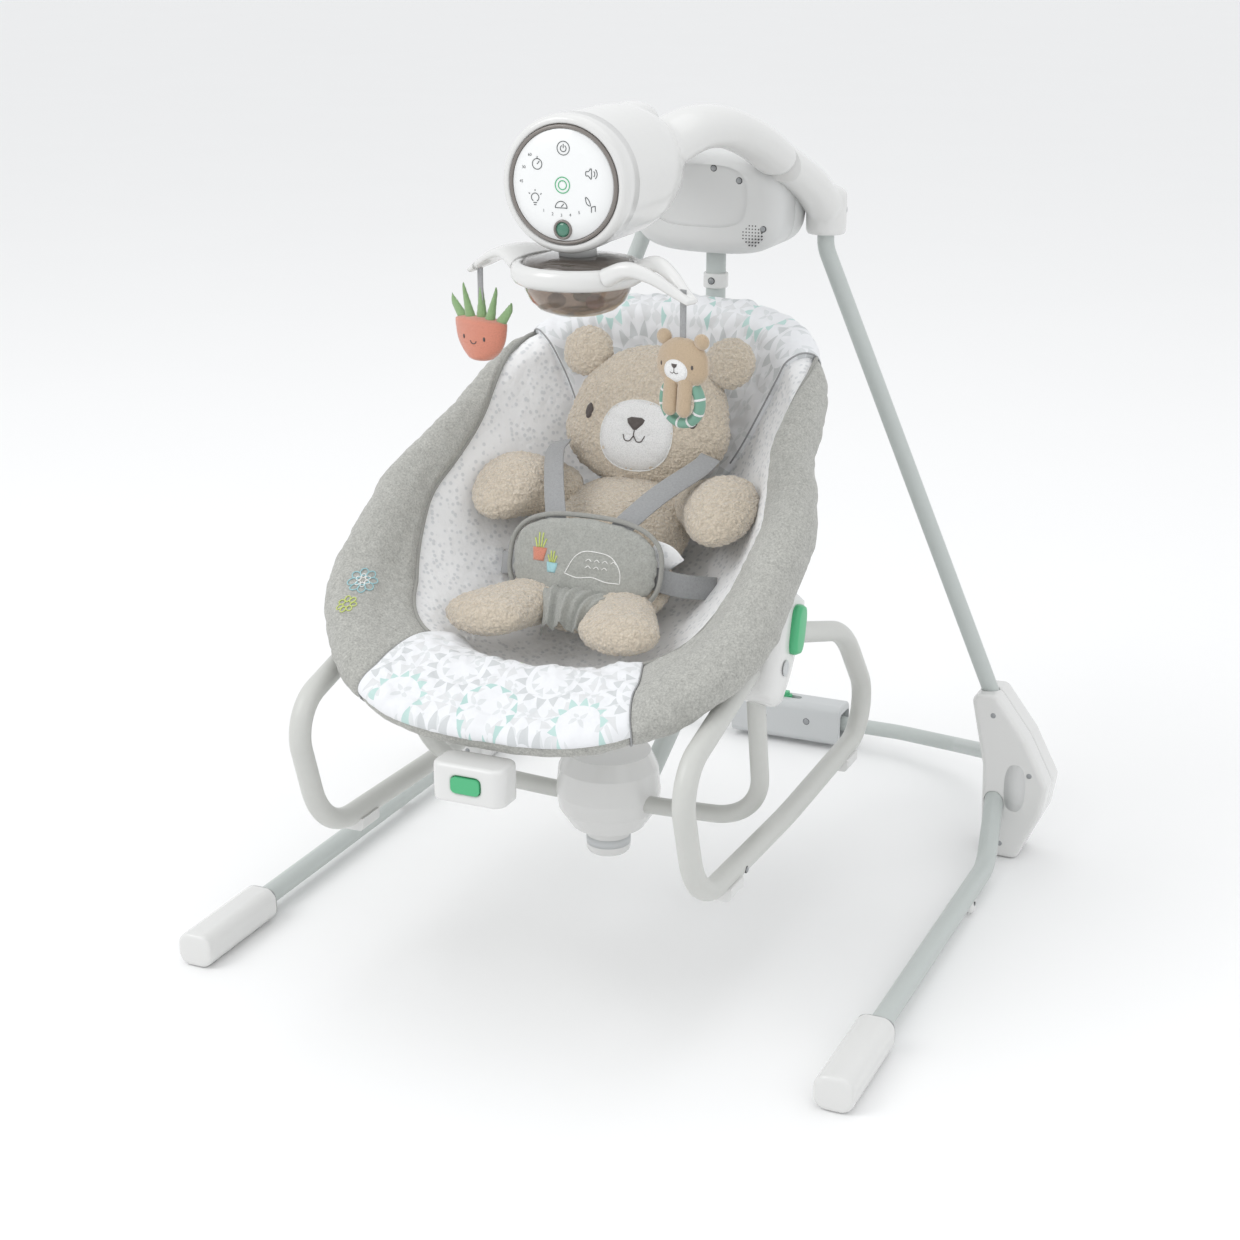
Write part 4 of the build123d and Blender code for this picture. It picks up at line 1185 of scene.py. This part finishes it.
# arm sockets: the seam, then a smooth sleeve over each upright
for side in (-1, 1):
    tag = TAG[side]
    arm = spline(mirrored(side, (0.0795, 0.206, 0.8065), (0.091, 0.236, 0.789), (0.102, 0.262, 0.770),
                          (0.110, 0.282, 0.748)), 14)
    parts = []
    for i, p in enumerate(arm):
        t = i / (len(arm) - 1)
        ahead = (arm[min(i + 1, len(arm) - 1)] - arm[max(i - 1, 0)]).normalized()
        top = Vector((side * 0.28, 0, 0.96))
        across = ahead.cross(top).normalized()
        top = across.cross(ahead).normalized()
        turn = Matrix((across, ahead, top)).transposed()
        parts.append((p, (0.0285 - 0.004 * t, 0.013, 0.0208), turn))
    for k in range(16):
        parts.append((st(side * 0.111, 0.290, 0.720 + 0.0025 * k), (0.0228, 0.0228, 0.012), None))
    sleeve = trimmed(blob(f"upright_sleeve_{tag}", parts, 0.0022, 8),
                     (st(0, 0.2062, 0), (0, -1, 0)), (st(0, 0, 0.7155), (0, 0, -1)))
    finish_piece(sleeve, "white", "head", [f"arm_socket_{tag}"])
    screw(f"sleeve_screw_{tag}", st(side * 0.132, 0.296, 0.742), (side * 1, 0.15, 0.05), "head")
    # a near-black band of painted shade stands for the seam between the head cover and the sleeve
    gap = sweep(f"sleeve_seam_shade_{tag}", mirrored(side, (0.0785, 0.2035, 0.8085), (0.0800, 0.2072, 0.8055)),
                [(0.0255, 0.0175), (0.0255, 0.0175)],
                up=(side * 0.28, 0, 0.96), sides=40)
    finish_piece(gap, "dark", "head")

# motor housing: one rounded case in a front and a rear half
BOXC = st(0, 0.249, 0.751)


def case_half(name, y0, y1, front, nodes):
    """Half of the motor case, with the hanger's slot and, in front, a shallow pocket."""
    verts, faces = [], []
    w, h = 0.0885, 0.0500
    steps = 10
    edge = []
    for k in range(steps + 1):
        a = pi / 2 * k / steps
        back = 0.020 * (1 - sin(a))
        edge.append((y0 + back if front else y1 - back, 0.020 * (1 - cos(a))))
    profile_pts = [(y1 if front else y0, 0.0)] + sorted(edge, key=lambda q: q[0], reverse=front)
    count = 96
    for y, inset in profile_pts:
        for k in range(count):
            a = 2 * pi * k / count
            c, s = cos(a), sin(a)
            x = (w - inset) * signed_power(c, 4.2)
            z = (h - inset) * signed_power(s, 3.2)
            z += 0.006 * (1 - (x / w) ** 2) if s > 0 else -0.004 * (1 - (x / w) ** 2)
            verts.append(Vector((BOXC.x + x, y - DY, BOXC.z + z)))
    for i in range(len(profile_pts) - 1):
        for k in range(count):
            m = (k + 1) % count
            faces.append((i * count + k, i * count + m, (i + 1) * count + m, (i + 1) * count + k))
    last = (len(profile_pts) - 1) * count
    for base, y, inset in ((last, profile_pts[-1][0], profile_pts[-1][1]), (0, profile_pts[0][0], 0.0)):
        prev = base
        for k2 in (0.66, 0.33, 0.02):
            start = len(verts)
            for k in range(count):
                v0 = verts[base + k]
                verts.append(Vector((BOXC.x + (v0.x - BOXC.x) * k2, v0.y, BOXC.z + (v0.z - BOXC.z) * k2)))
            for k in range(count):
                m = (k + 1) % count
                faces.append((prev + k, prev + m, start + m, start + k))
            prev = start
        faces.append(tuple(prev + k for k in range(count)))
    obj = mesh_object(name, verts, faces)
    tools = [sweep("tool_slot", [st(0, 0.238, 0.660), st(0, 0.238, 0.742)], (0.030, 0.0175), up=(0, 1, 0),
                   sides=48, power=4.0)]
    if front:
        pocket = sweep("tool_pocket", [st(-0.006, 0.185, 0.762), st(-0.006, 0.2015, 0.762)], (0.057, 0.034),
                       up=(0, 0, 1), sides=64, power=3.4)
        tools.append(pocket)
    finish_piece(carved(obj, tools, 0.0018), "satin", "head", nodes)


case_half("motor_case_front", 0.197, 0.2487, True, ["motor_housing_front"])
case_half("motor_case_rear", 0.2497, 0.301, False, ["motor_housing_rear"])
for k, (x, z) in enumerate(((-0.076, 0.729), (0.070, 0.730), (0.010, 0.792), (0.040, 0.780))):
    screw(f"case_screw_{k}", st(x, 0.1972 if k < 2 else 0.2012, z), (0, -1, 0), "head", 0.0030)
# speaker grille: flat near-black discs of painted shade stand for its holes
holes = []
for i in range(-3, 4):
    for j in range(-3, 4):
        if hypot(i, j) < 3.3:
            holes.append(disc("hole", st(0.058 + i * 0.0036, 0.1968, 0.722 + j * 0.0036), (0, -1, 0),
                              0.0008, 0.002, 10))
finish_piece(joined("speaker_grille", holes), "dark", "head")

# ---------------------------------------------------------------------------- mobile

MOBILE_AXIS = st(0, -0.128, 0)
MT = radians(-16)
RAD = Vector((cos(MT), sin(MT), 0))
TAN = Vector((-sin(MT), cos(MT), 0))


def mp(r, t, z):
    """A point of the mobile: along its arms, across them, and its height."""
    return MOBILE_AXIS + RAD * r + TAN * t + Vector((0, 0, z))


ring = lathe("mobile_rim", [(0.0546, 0.7215), (0.0590, 0.7205), (0.0630, 0.7230), (0.0655, 0.7275),
                            (0.0655, 0.7345), (0.0635, 0.7390), (0.0590, 0.7415),
                            (0.0546, 0.7405), (0.0546, 0.7215)], MOBILE_AXIS, "Z", 96)
finish_piece(ring, "white", "mobile")


def arm_bar(name, pts, widths, heights, power=2.4):
    """A tapering bar of the mobile's arms, its half sizes spread evenly along it."""
    path = spline(pts, 8)
    n = len(path)
    sizes = [(np.interp(i / (n - 1), np.linspace(0, 1, len(widths)), widths),
              np.interp(i / (n - 1), np.linspace(0, 1, len(heights)), heights)) for i in range(n)]
    return sweep(name, path, sizes, up=(0, 0, 1), sides=24, power=power)


left = arm_bar("mobile_arm_left", [mp(-0.056, 0, 0.735), mp(-0.078, 0, 0.743), mp(-0.102, 0, 0.738),
                                   mp(-0.124, 0, 0.727), mp(-0.144, 0, 0.7165)],
               [0.036, 0.028, 0.020, 0.013, 0.0050], [0.0095, 0.0075, 0.0058, 0.0046, 0.0026])
slot_cut = sweep("slot_tool", [mp(-0.131, -0.005, 0.690), mp(-0.131, -0.005, 0.760)], (0.0022, 0.0090),
                 up=tuple(TAN), sides=24, power=3)
finish_piece(carved(left, [slot_cut]), "white", "mobile")
strands = []
for sign in (-1, 1):
    strands.append(arm_bar("strand", [mp(0.056, sign * 0.024, 0.734), mp(0.080, sign * 0.0215, 0.744),
                                      mp(0.104, sign * 0.014, 0.738), mp(0.126, sign * 0.0065, 0.7255),
                                      mp(0.1415, sign * 0.0038, 0.7175)],
                           [0.0100, 0.0082, 0.0070, 0.0058, 0.0048],
                           [0.0095, 0.0078, 0.0058, 0.0046, 0.0032]))
bridge = arm_bar("bridge", [mp(0.052, 0, 0.732), mp(0.060, 0, 0.735), mp(0.068, 0, 0.739)],
                 [0.028, 0.026, 0.020], [0.0085, 0.0080, 0.0050])
tip = arm_bar("tip", [mp(0.1395, -0.006, 0.7185), mp(0.1395, 0, 0.7185), mp(0.1395, 0.006, 0.7185)],
              [0.004, 0.005, 0.004], [0.0028, 0.0032, 0.0028])
right = remeshed(joined("mobile_arm_right", strands + [bridge, tip]), 0.0011, 5)
finish_piece(right, "white", "mobile", ["mobile_ring"])

bowl = lathe("smoky_bowl", [(0.0542, 0.7365), (0.0540, 0.7260), (0.0520, 0.7150), (0.0470, 0.7040),
                            (0.0385, 0.6960), (0.0270, 0.6915), (0.0130, 0.6905), (0.0001, 0.6905),
                            (0.0001, 0.6928), (0.0130, 0.6928), (0.0262, 0.6938), (0.0368, 0.6980),
                            (0.0450, 0.7055), (0.0498, 0.7160), (0.0517, 0.7262), (0.0518, 0.7365)],
             MOBILE_AXIS, "Z", 96)
finish_piece(bowl, "smoky", "mobile", ["mobile_bowl"])
foot = lathe("bowl_medallion", [(0.0001, 0.6895), (0.0150, 0.6895), (0.0165, 0.6905), (0.0150, 0.6915),
                                (0.0001, 0.6915)], MOBILE_AXIS, "Z", 48)
finish_piece(foot, "tan", "mobile")
lid = lathe("bowl_lid", [(0.0001, 0.7365), (0.0535, 0.7365), (0.0540, 0.7400), (0.0500, 0.7440),
                         (0.0300, 0.7470), (0.0001, 0.7475)], MOBILE_AXIS, "Z", 96)
finish_piece(lid, "smoky", "mobile")
spindle = lathe("mobile_axle_pin", [(0.0001, 0.7440), (0.0039, 0.7440), (0.0039, 0.7700), (0.0001, 0.7700)],
                MOBILE_AXIS, "Z", 32)
finish_piece(spindle, "steel", "mobile")
for k in range(3):
    bead = blob(f"bowl_toy_{k}", [(mp(0.022 * cos(2.1 * k), 0.022 * sin(2.1 * k), 0.7035),
                                   (0.0095, 0.0095, 0.0080), None)], 0.0012, 2)
    finish_piece(bead, ("coral", "sage", "tan")[k], "mobile")
collar = lathe("drum_collar", [(0.0185, 0.7470), (0.0185, 0.7600), (0.0150, 0.7600), (0.0150, 0.7470),
                               (0.0185, 0.7470)], MOBILE_AXIS, "Z", 48)
finish_piece(collar, "satin", "mobile")

# ---------------------------------------------------------------------------- hanging toys


def toy_frame(side):
    return mp(side * 0.131, 0, 0)


toy_turn = Matrix((RAD, TAN, Vector((0, 0, 1)))).transposed()


def toy_part(name, parts, mat, body, voxel=0.0018, cap=0.002):
    """A stuffed part of a hanging toy."""
    obj = blob(name, parts, voxel, 4)
    puffed(obj, 4.0, cap)
    finish_piece(obj, mat, body)
    return obj


P = toy_frame(-1)


def tp(x, y, z):
    return P + RAD * x + TAN * y + Vector((0, 0, z))


pot_balls = []
for k in range(12):
    z = 0.630 + 0.0032 * k
    w = 0.0350 * sqrt(max(0.0, 1 - ((0.667 - z) / 0.041) ** 2.4))
    pot_balls.append((tp(0, 0, z), (w, 0.0125, 0.005), toy_turn))
pot = toy_part("plant_pot", pot_balls, "coral", "toy_plant")
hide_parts("plush_plant")
for k, (x0, lean, length, wide) in enumerate(((-0.021, -36, 0.034, 0.0075), (-0.011, -15, 0.045, 0.0080),
                                              (0.0, 0, 0.051, 0.0085), (0.011, 15, 0.045, 0.0080),
                                              (0.021, 36, 0.034, 0.0075))):
    parts = []
    for m in range(8):
        t = m / 7
        parts.append((tp(x0 + sin(radians(lean)) * length * t, 0.0012 * (-1) ** k,
                         0.660 + cos(radians(lean)) * length * t * 0.86),
                      (wide * (1 - 0.82 * t), 0.0050 * (1 - 0.6 * t), 0.0070), toy_turn))
    toy_part(f"plant_leaf_{k}", parts, "sage", "toy_plant", 0.0014, 0.001)
pot_face = Face(pot, tp(0, 0, 0.648), RAD, Vector((0, 0, 1)), 0.0002)
smile = [pot_face.stitch("s", [(-0.0042, -0.001), (-0.002, -0.0035), (0.002, -0.0035), (0.0042, -0.001)],
                         0.0005)]
finish_piece(joined("plant_smile", smile), "thread", "toy_plant")
for side in (-1, 1):
    eye = pot_face.patch(f"plant_eye_{TAG[side]}", ellipse_line(side * 0.014, 0.002, 0.0014, 0.0024, 12),
                         0.0006, 2)
    finish_piece(eye, "thread", "toy_plant")
strap = ribbon("plant_strap", spline([tp(0, 0, 0.680), tp(0, 0, 0.702), tp(0, 0, 0.7175), tp(0, 0, 0.7285)],
                                     5), 0.0072, 0.0013, tuple(TAN))
finish_piece(strap, "web", "toy_plant")

P = toy_frame(1)
head = toy_part("toy_bear_head", [(tp(0, 0, 0.660), (0.0300, 0.0120, 0.0235), toy_turn),
                                  (tp(0, 0, 0.653), (0.0305, 0.0120, 0.0180), toy_turn)], "tan", "toy_bear")
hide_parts("plush_bear_toy")
for side in (-1, 1):
    tag = TAG[side]
    toy_part(f"toy_bear_ear_{tag}", [(tp(side * 0.0225, 0, 0.6815), (0.0085, 0.0055, 0.0080), toy_turn)],
             "tan", "toy_bear", 0.0014, 0.001)
    toy_part(f"toy_bear_arm_{tag}", chain([
        (tp(side * 0.0085, -0.0065, 0.640), (0.0085, 0.0055, 0.009), toy_turn),
        (tp(side * 0.0085, -0.0090, 0.617), (0.0085, 0.0050, 0.009), toy_turn)], 4),
        "tan", "toy_bear", 0.0014, 0.001)
toy_face = Face(head, tp(0, 0, 0.657), RAD, Vector((0, 0, 1)), 0.0002)
plate = toy_face.patch("toy_bear_muzzle", ellipse_line(0, -0.004, 0.0140, 0.0110, 28), 0.0012, 4)
finish_piece(plate, "muzzle", "toy_bear")
plate_face = Face(plate, tp(0, 0, 0.657), RAD, Vector((0, 0, 1)), 0.0002)
nose = plate_face.patch("toy_bear_nose",
                        [(-0.0034, 0.003), (0.0034, 0.003), (0.0028, 0.0006), (0, -0.0016),
                         (-0.0028, 0.0006)], 0.0007, 2)
finish_piece(nose, "thread", "toy_bear")
mouth = [plate_face.stitch("m", [(0, -0.001), (0, -0.0045)], 0.00035)]
for side in (-1, 1):
    mouth.append(plate_face.stitch("m", [(0, -0.0045), (side * 0.002, -0.0062), (side * 0.0048, -0.0052)],
                                   0.00035))
    eye = toy_face.patch(f"toy_bear_eye_{TAG[side]}",
                         ellipse_line(side * 0.0185, 0.001, 0.0012, 0.0022, 12), 0.0006, 2)
    finish_piece(eye, "thread", "toy_bear")
finish_piece(joined("toy_bear_mouth", mouth), "thread", "toy_bear")
hoop = spline([tp(0.0212 * cos(a), 0, 0.622 + 0.0212 * sin(a)) for a in np.linspace(0, 2 * pi, 24,
    endpoint=False)], 4, True)
body = sweep("teether_hoop", hoop, (0.0052, 0.0060), up=tuple(TAN), closed=True, sides=20)
finish_piece(body, "teether", "toy_bear", ["teether_ring"])
bands = []
for k in range(10):
    a = 2 * pi * k / 10 + 0.2
    p = tp(0.0212 * cos(a), 0, 0.622 + 0.0212 * sin(a))
    d = (RAD * -sin(a) + Vector((0, 0, 1)) * cos(a)).normalized()
    bands.append(sweep("band", [p - d * 0.0011, p + d * 0.0011], (0.0056, 0.0064), up=tuple(TAN), sides=20))
finish_piece(joined("teether_bands", bands), "muzzle", "toy_bear")
strap = ribbon("bear_strap", spline([tp(0, 0, 0.679), tp(0, 0, 0.698), tp(0, 0, 0.7175), tp(0, 0, 0.7285)],
                                    5), 0.0072, 0.0013, tuple(TAN))
finish_piece(strap, "web", "toy_bear")

# ---------------------------------------------------------------------------- small fittings


def softened(node, name, body, voxel, rounds, mat="white"):
    """A copy of a moulded CAD part with its edges worn round, shown in its place."""
    obj = bpy.data.objects.new(name, NODES[node].data.copy())
    bpy.context.scene.collection.objects.link(obj)
    remeshed(obj, voxel * (1.0), rounds)
    return finish_piece(obj, mat, body, [node])


softened("vibration_unit", "vibration_case", "seat", 0.0012, 8)

for side in (-1, 1):
    tag = TAG[side]
    leg = f"leg_{tag}"
    line = sweep(f"foot_line_{tag}", mirrored(side, (0.355, -0.2085, 0.0185), (0.355, -0.2065, 0.0185)),
                 (0.0200, 0.0180), up=(0, 0, 1), sides=48, power=3.2)
    finish_piece(line, "line", leg)
    clip = blob(f"tube_clip_{tag}", [(st(side * 0.358, 0.118, 0.0135), (0.0085, 0.0150, 0.0072), None),
                                     (st(side * 0.362, 0.118, 0.009), (0.0060, 0.0090, 0.0072), None)],
                0.0016, 4)
    finish_piece(clip, "white", leg)
    screw(f"clip_screw_{tag}", st(side * 0.3665, 0.118, 0.0125), (side, 0, -0.1), leg, 0.0028)
    for k, (x, z) in enumerate(((0.336, 0.176), (0.382, 0.108), (0.352, 0.018))):
        screw(f"hub_screw_{tag}_{k}", st(side * x, 0.2772, z), (0, -1, 0), leg, 0.0032)
    inset = sweep(f"hub_inlay_{tag}", mirrored(side, (0.366, 0.2768, 0.090), (0.366, 0.2780, 0.090)),
                  (0.0125, 0.0290), up=(0, 0, 1), sides=48, power=2.6)
    finish_piece(inset, "satin", leg)
    screw(f"runner_screw_{tag}", st(side * 0.2165, -0.205, 0.1665), (side, 0, 0), "hanger", 0.0030)
    path = mirrored(side, (0.2285, -0.124, 0.394), (0.2350, -0.124, 0.394), (0.2385, -0.124, 0.394),
                    (0.2392, -0.124, 0.394))
    lever = sweep(f"recline_key_{tag}", path,
                  [(0.0140, 0.0250), (0.0140, 0.0250), (0.0122, 0.0232), (0.0096, 0.0205)],
                  up=(0, 0.25, 0.97), sides=48, power=3.2)
    finish_piece(lever, "green", f"lever_{tag}", [f"recline_lever_{tag}"])
    spine = spline(mirrored(side, (0.2112, -0.106, 0.424), (0.2112, -0.112, 0.414), (0.2112, -0.128, 0.388),
                            (0.2112, -0.148, 0.356), (0.2112, -0.161, 0.336), (0.2112, -0.166, 0.328)), 6)
    place = np.linspace(0, 1, len(spine))
    half_width = np.interp(place, (0, 0.06, 0.3, 0.55, 0.9, 1), (0.012, 0.026, 0.036, 0.035, 0.022, 0.012))
    half_depth = np.interp(place, (0, 0.06, 0.3, 0.8, 1), (0.016, 0.0205, 0.0208, 0.0190, 0.0150))
    shroud = sweep(f"hub_shroud_{tag}", spine, list(zip(half_width, half_depth)), up=(1, 0, 0), sides=40,
                   power=3.0)
    finish_piece(shroud, "white", "hanger", [f"recline_hub_{tag}"])
    for part in ("front", "rear"):
        softened(f"hub_{part}_shell_{tag}", f"hub_case_{part}_{tag}", leg, 0.0013, 5)
    softened(f"foot_cap_{tag}", f"foot_sleeve_{tag}", leg, 0.0013, 8)
    plug = blob(f"hub_window_{tag}", [(st(side * 0.2322, -0.150, 0.362), (0.0016, 0.0085, 0.0085), None)],
                0.0010, 2)
    finish_piece(plug, "latch", "hanger")
screw("hanger_screw", st(0, 0.2235, 0.664), (0, -1, 0), "hanger", 0.0032)
for x in (-0.030, 0.030):
    screw(f"latch_screw_{'right' if x > 0 else 'left'}", st(x, 0.5088, 0.036), (0, -1, 0), "latch", 0.0040)
band = lathe("dock_band", [(0.0243, 0.0965), (0.0243, 0.1060), (0.0200, 0.1060), (0.0200, 0.0965),
                           (0.0243, 0.0965)], (0, st(0, -0.058, 0).y, 0), "Z", 64)
finish_piece(band, "latch", "hanger")

# ---------------------------------------------------------------------------- carried-over parts

CARRIED = {
    "stand": ["floor_tube_right", "floor_tube_left", "upright_right", "upright_left", "rear_bar_right",
              "rear_bar_left", "hanger_tube"],
    "rocker": ["runner_right", "runner_left", "cross_tube"],
    "white": ["hanger_collar", "dock_cup", "base_housing", "recline_plates", "buckle"],
    "latch": ["latch_box"],
    "green": ["latch_slider", "vibration_button", "buckle_button"],
    "rubber": ["runner_pads"],
    "steel": ["swing_axle", "drive_gear", "hanger_yoke", "drive_pinion", "axle_bushes", "drive_motor",
              "mobile_motor", "battery_cells"],
    "board": ["circuit_board"]}
for mat, names in CARRIED.items():
    for name in names:
        obj = NODES[name]
        obj.data.materials.clear()
        obj.data.materials.append(M[mat])

# ---------------------------------------------------------------------------- stage, light and camera

bpy.ops.mesh.primitive_plane_add(size=400, location=(0, 0, 0))
floor = bpy.context.object
floor.name = "stage_floor"
floor.location.z = FRAME_BOX[0][2] - 0.0005
g = Graph("stage_white")
g.link(g.ramp(g.noise(2), [(0.3, (0.90, 0.90, 0.90)), (0.7, (0.905, 0.905, 0.905))]),
       g.shader.inputs["Base Color"])
g.set(Roughness=0.9)
floor.data.materials.append(g.mat)


def lamp(name, place, aim, size, power, colour=(1, 1, 1)):
    """A square area light that looks at aim."""
    data = bpy.data.lights.new(name, "AREA")
    data.size, data.energy, data.color = size, power, colour
    obj = bpy.data.objects.new(name, data)
    obj.location = place
    obj.rotation_euler = (Vector(aim) - Vector(place)).to_track_quat("-Z", "Y").to_euler()
    bpy.context.scene.collection.objects.link(obj)


lamp("key_light", (-1.9, -2.3, 3.0), (0, 0, 0.4), 2.0, 40)
lamp("fill_light", (2.7, -1.6, 2.0), (0, 0, 0.4), 2.6, 9)
lamp("top_light", (0.2, 0.6, 3.6), (0, 0, 0.3), 3.0, 14)
world = bpy.data.worlds.new("studio")
world.use_nodes = True
world.node_tree.nodes["Background"].inputs["Color"].default_value = (0.96, 0.97, 0.98, 1)
world.node_tree.nodes["Background"].inputs["Strength"].default_value = 0.96
bpy.context.scene.world = world
bpy.context.scene.view_settings.view_transform = "Standard"

camera = bpy.data.objects.new("camera", bpy.data.cameras.new("camera"))
SENSOR, PHOTO_SIDE, FOCAL = 36, 1240, 2200         # sensor in mm, the other two in pixels
camera.data.sensor_width = SENSOR
camera.data.lens = FOCAL * SENSOR / PHOTO_SIDE
camera.location = (0.905, -2.060 - DY, 1.103)
camera.rotation_euler = (radians(71.1), 0, radians(24))
bpy.context.scene.collection.objects.link(camera)
bpy.context.scene.camera = camera
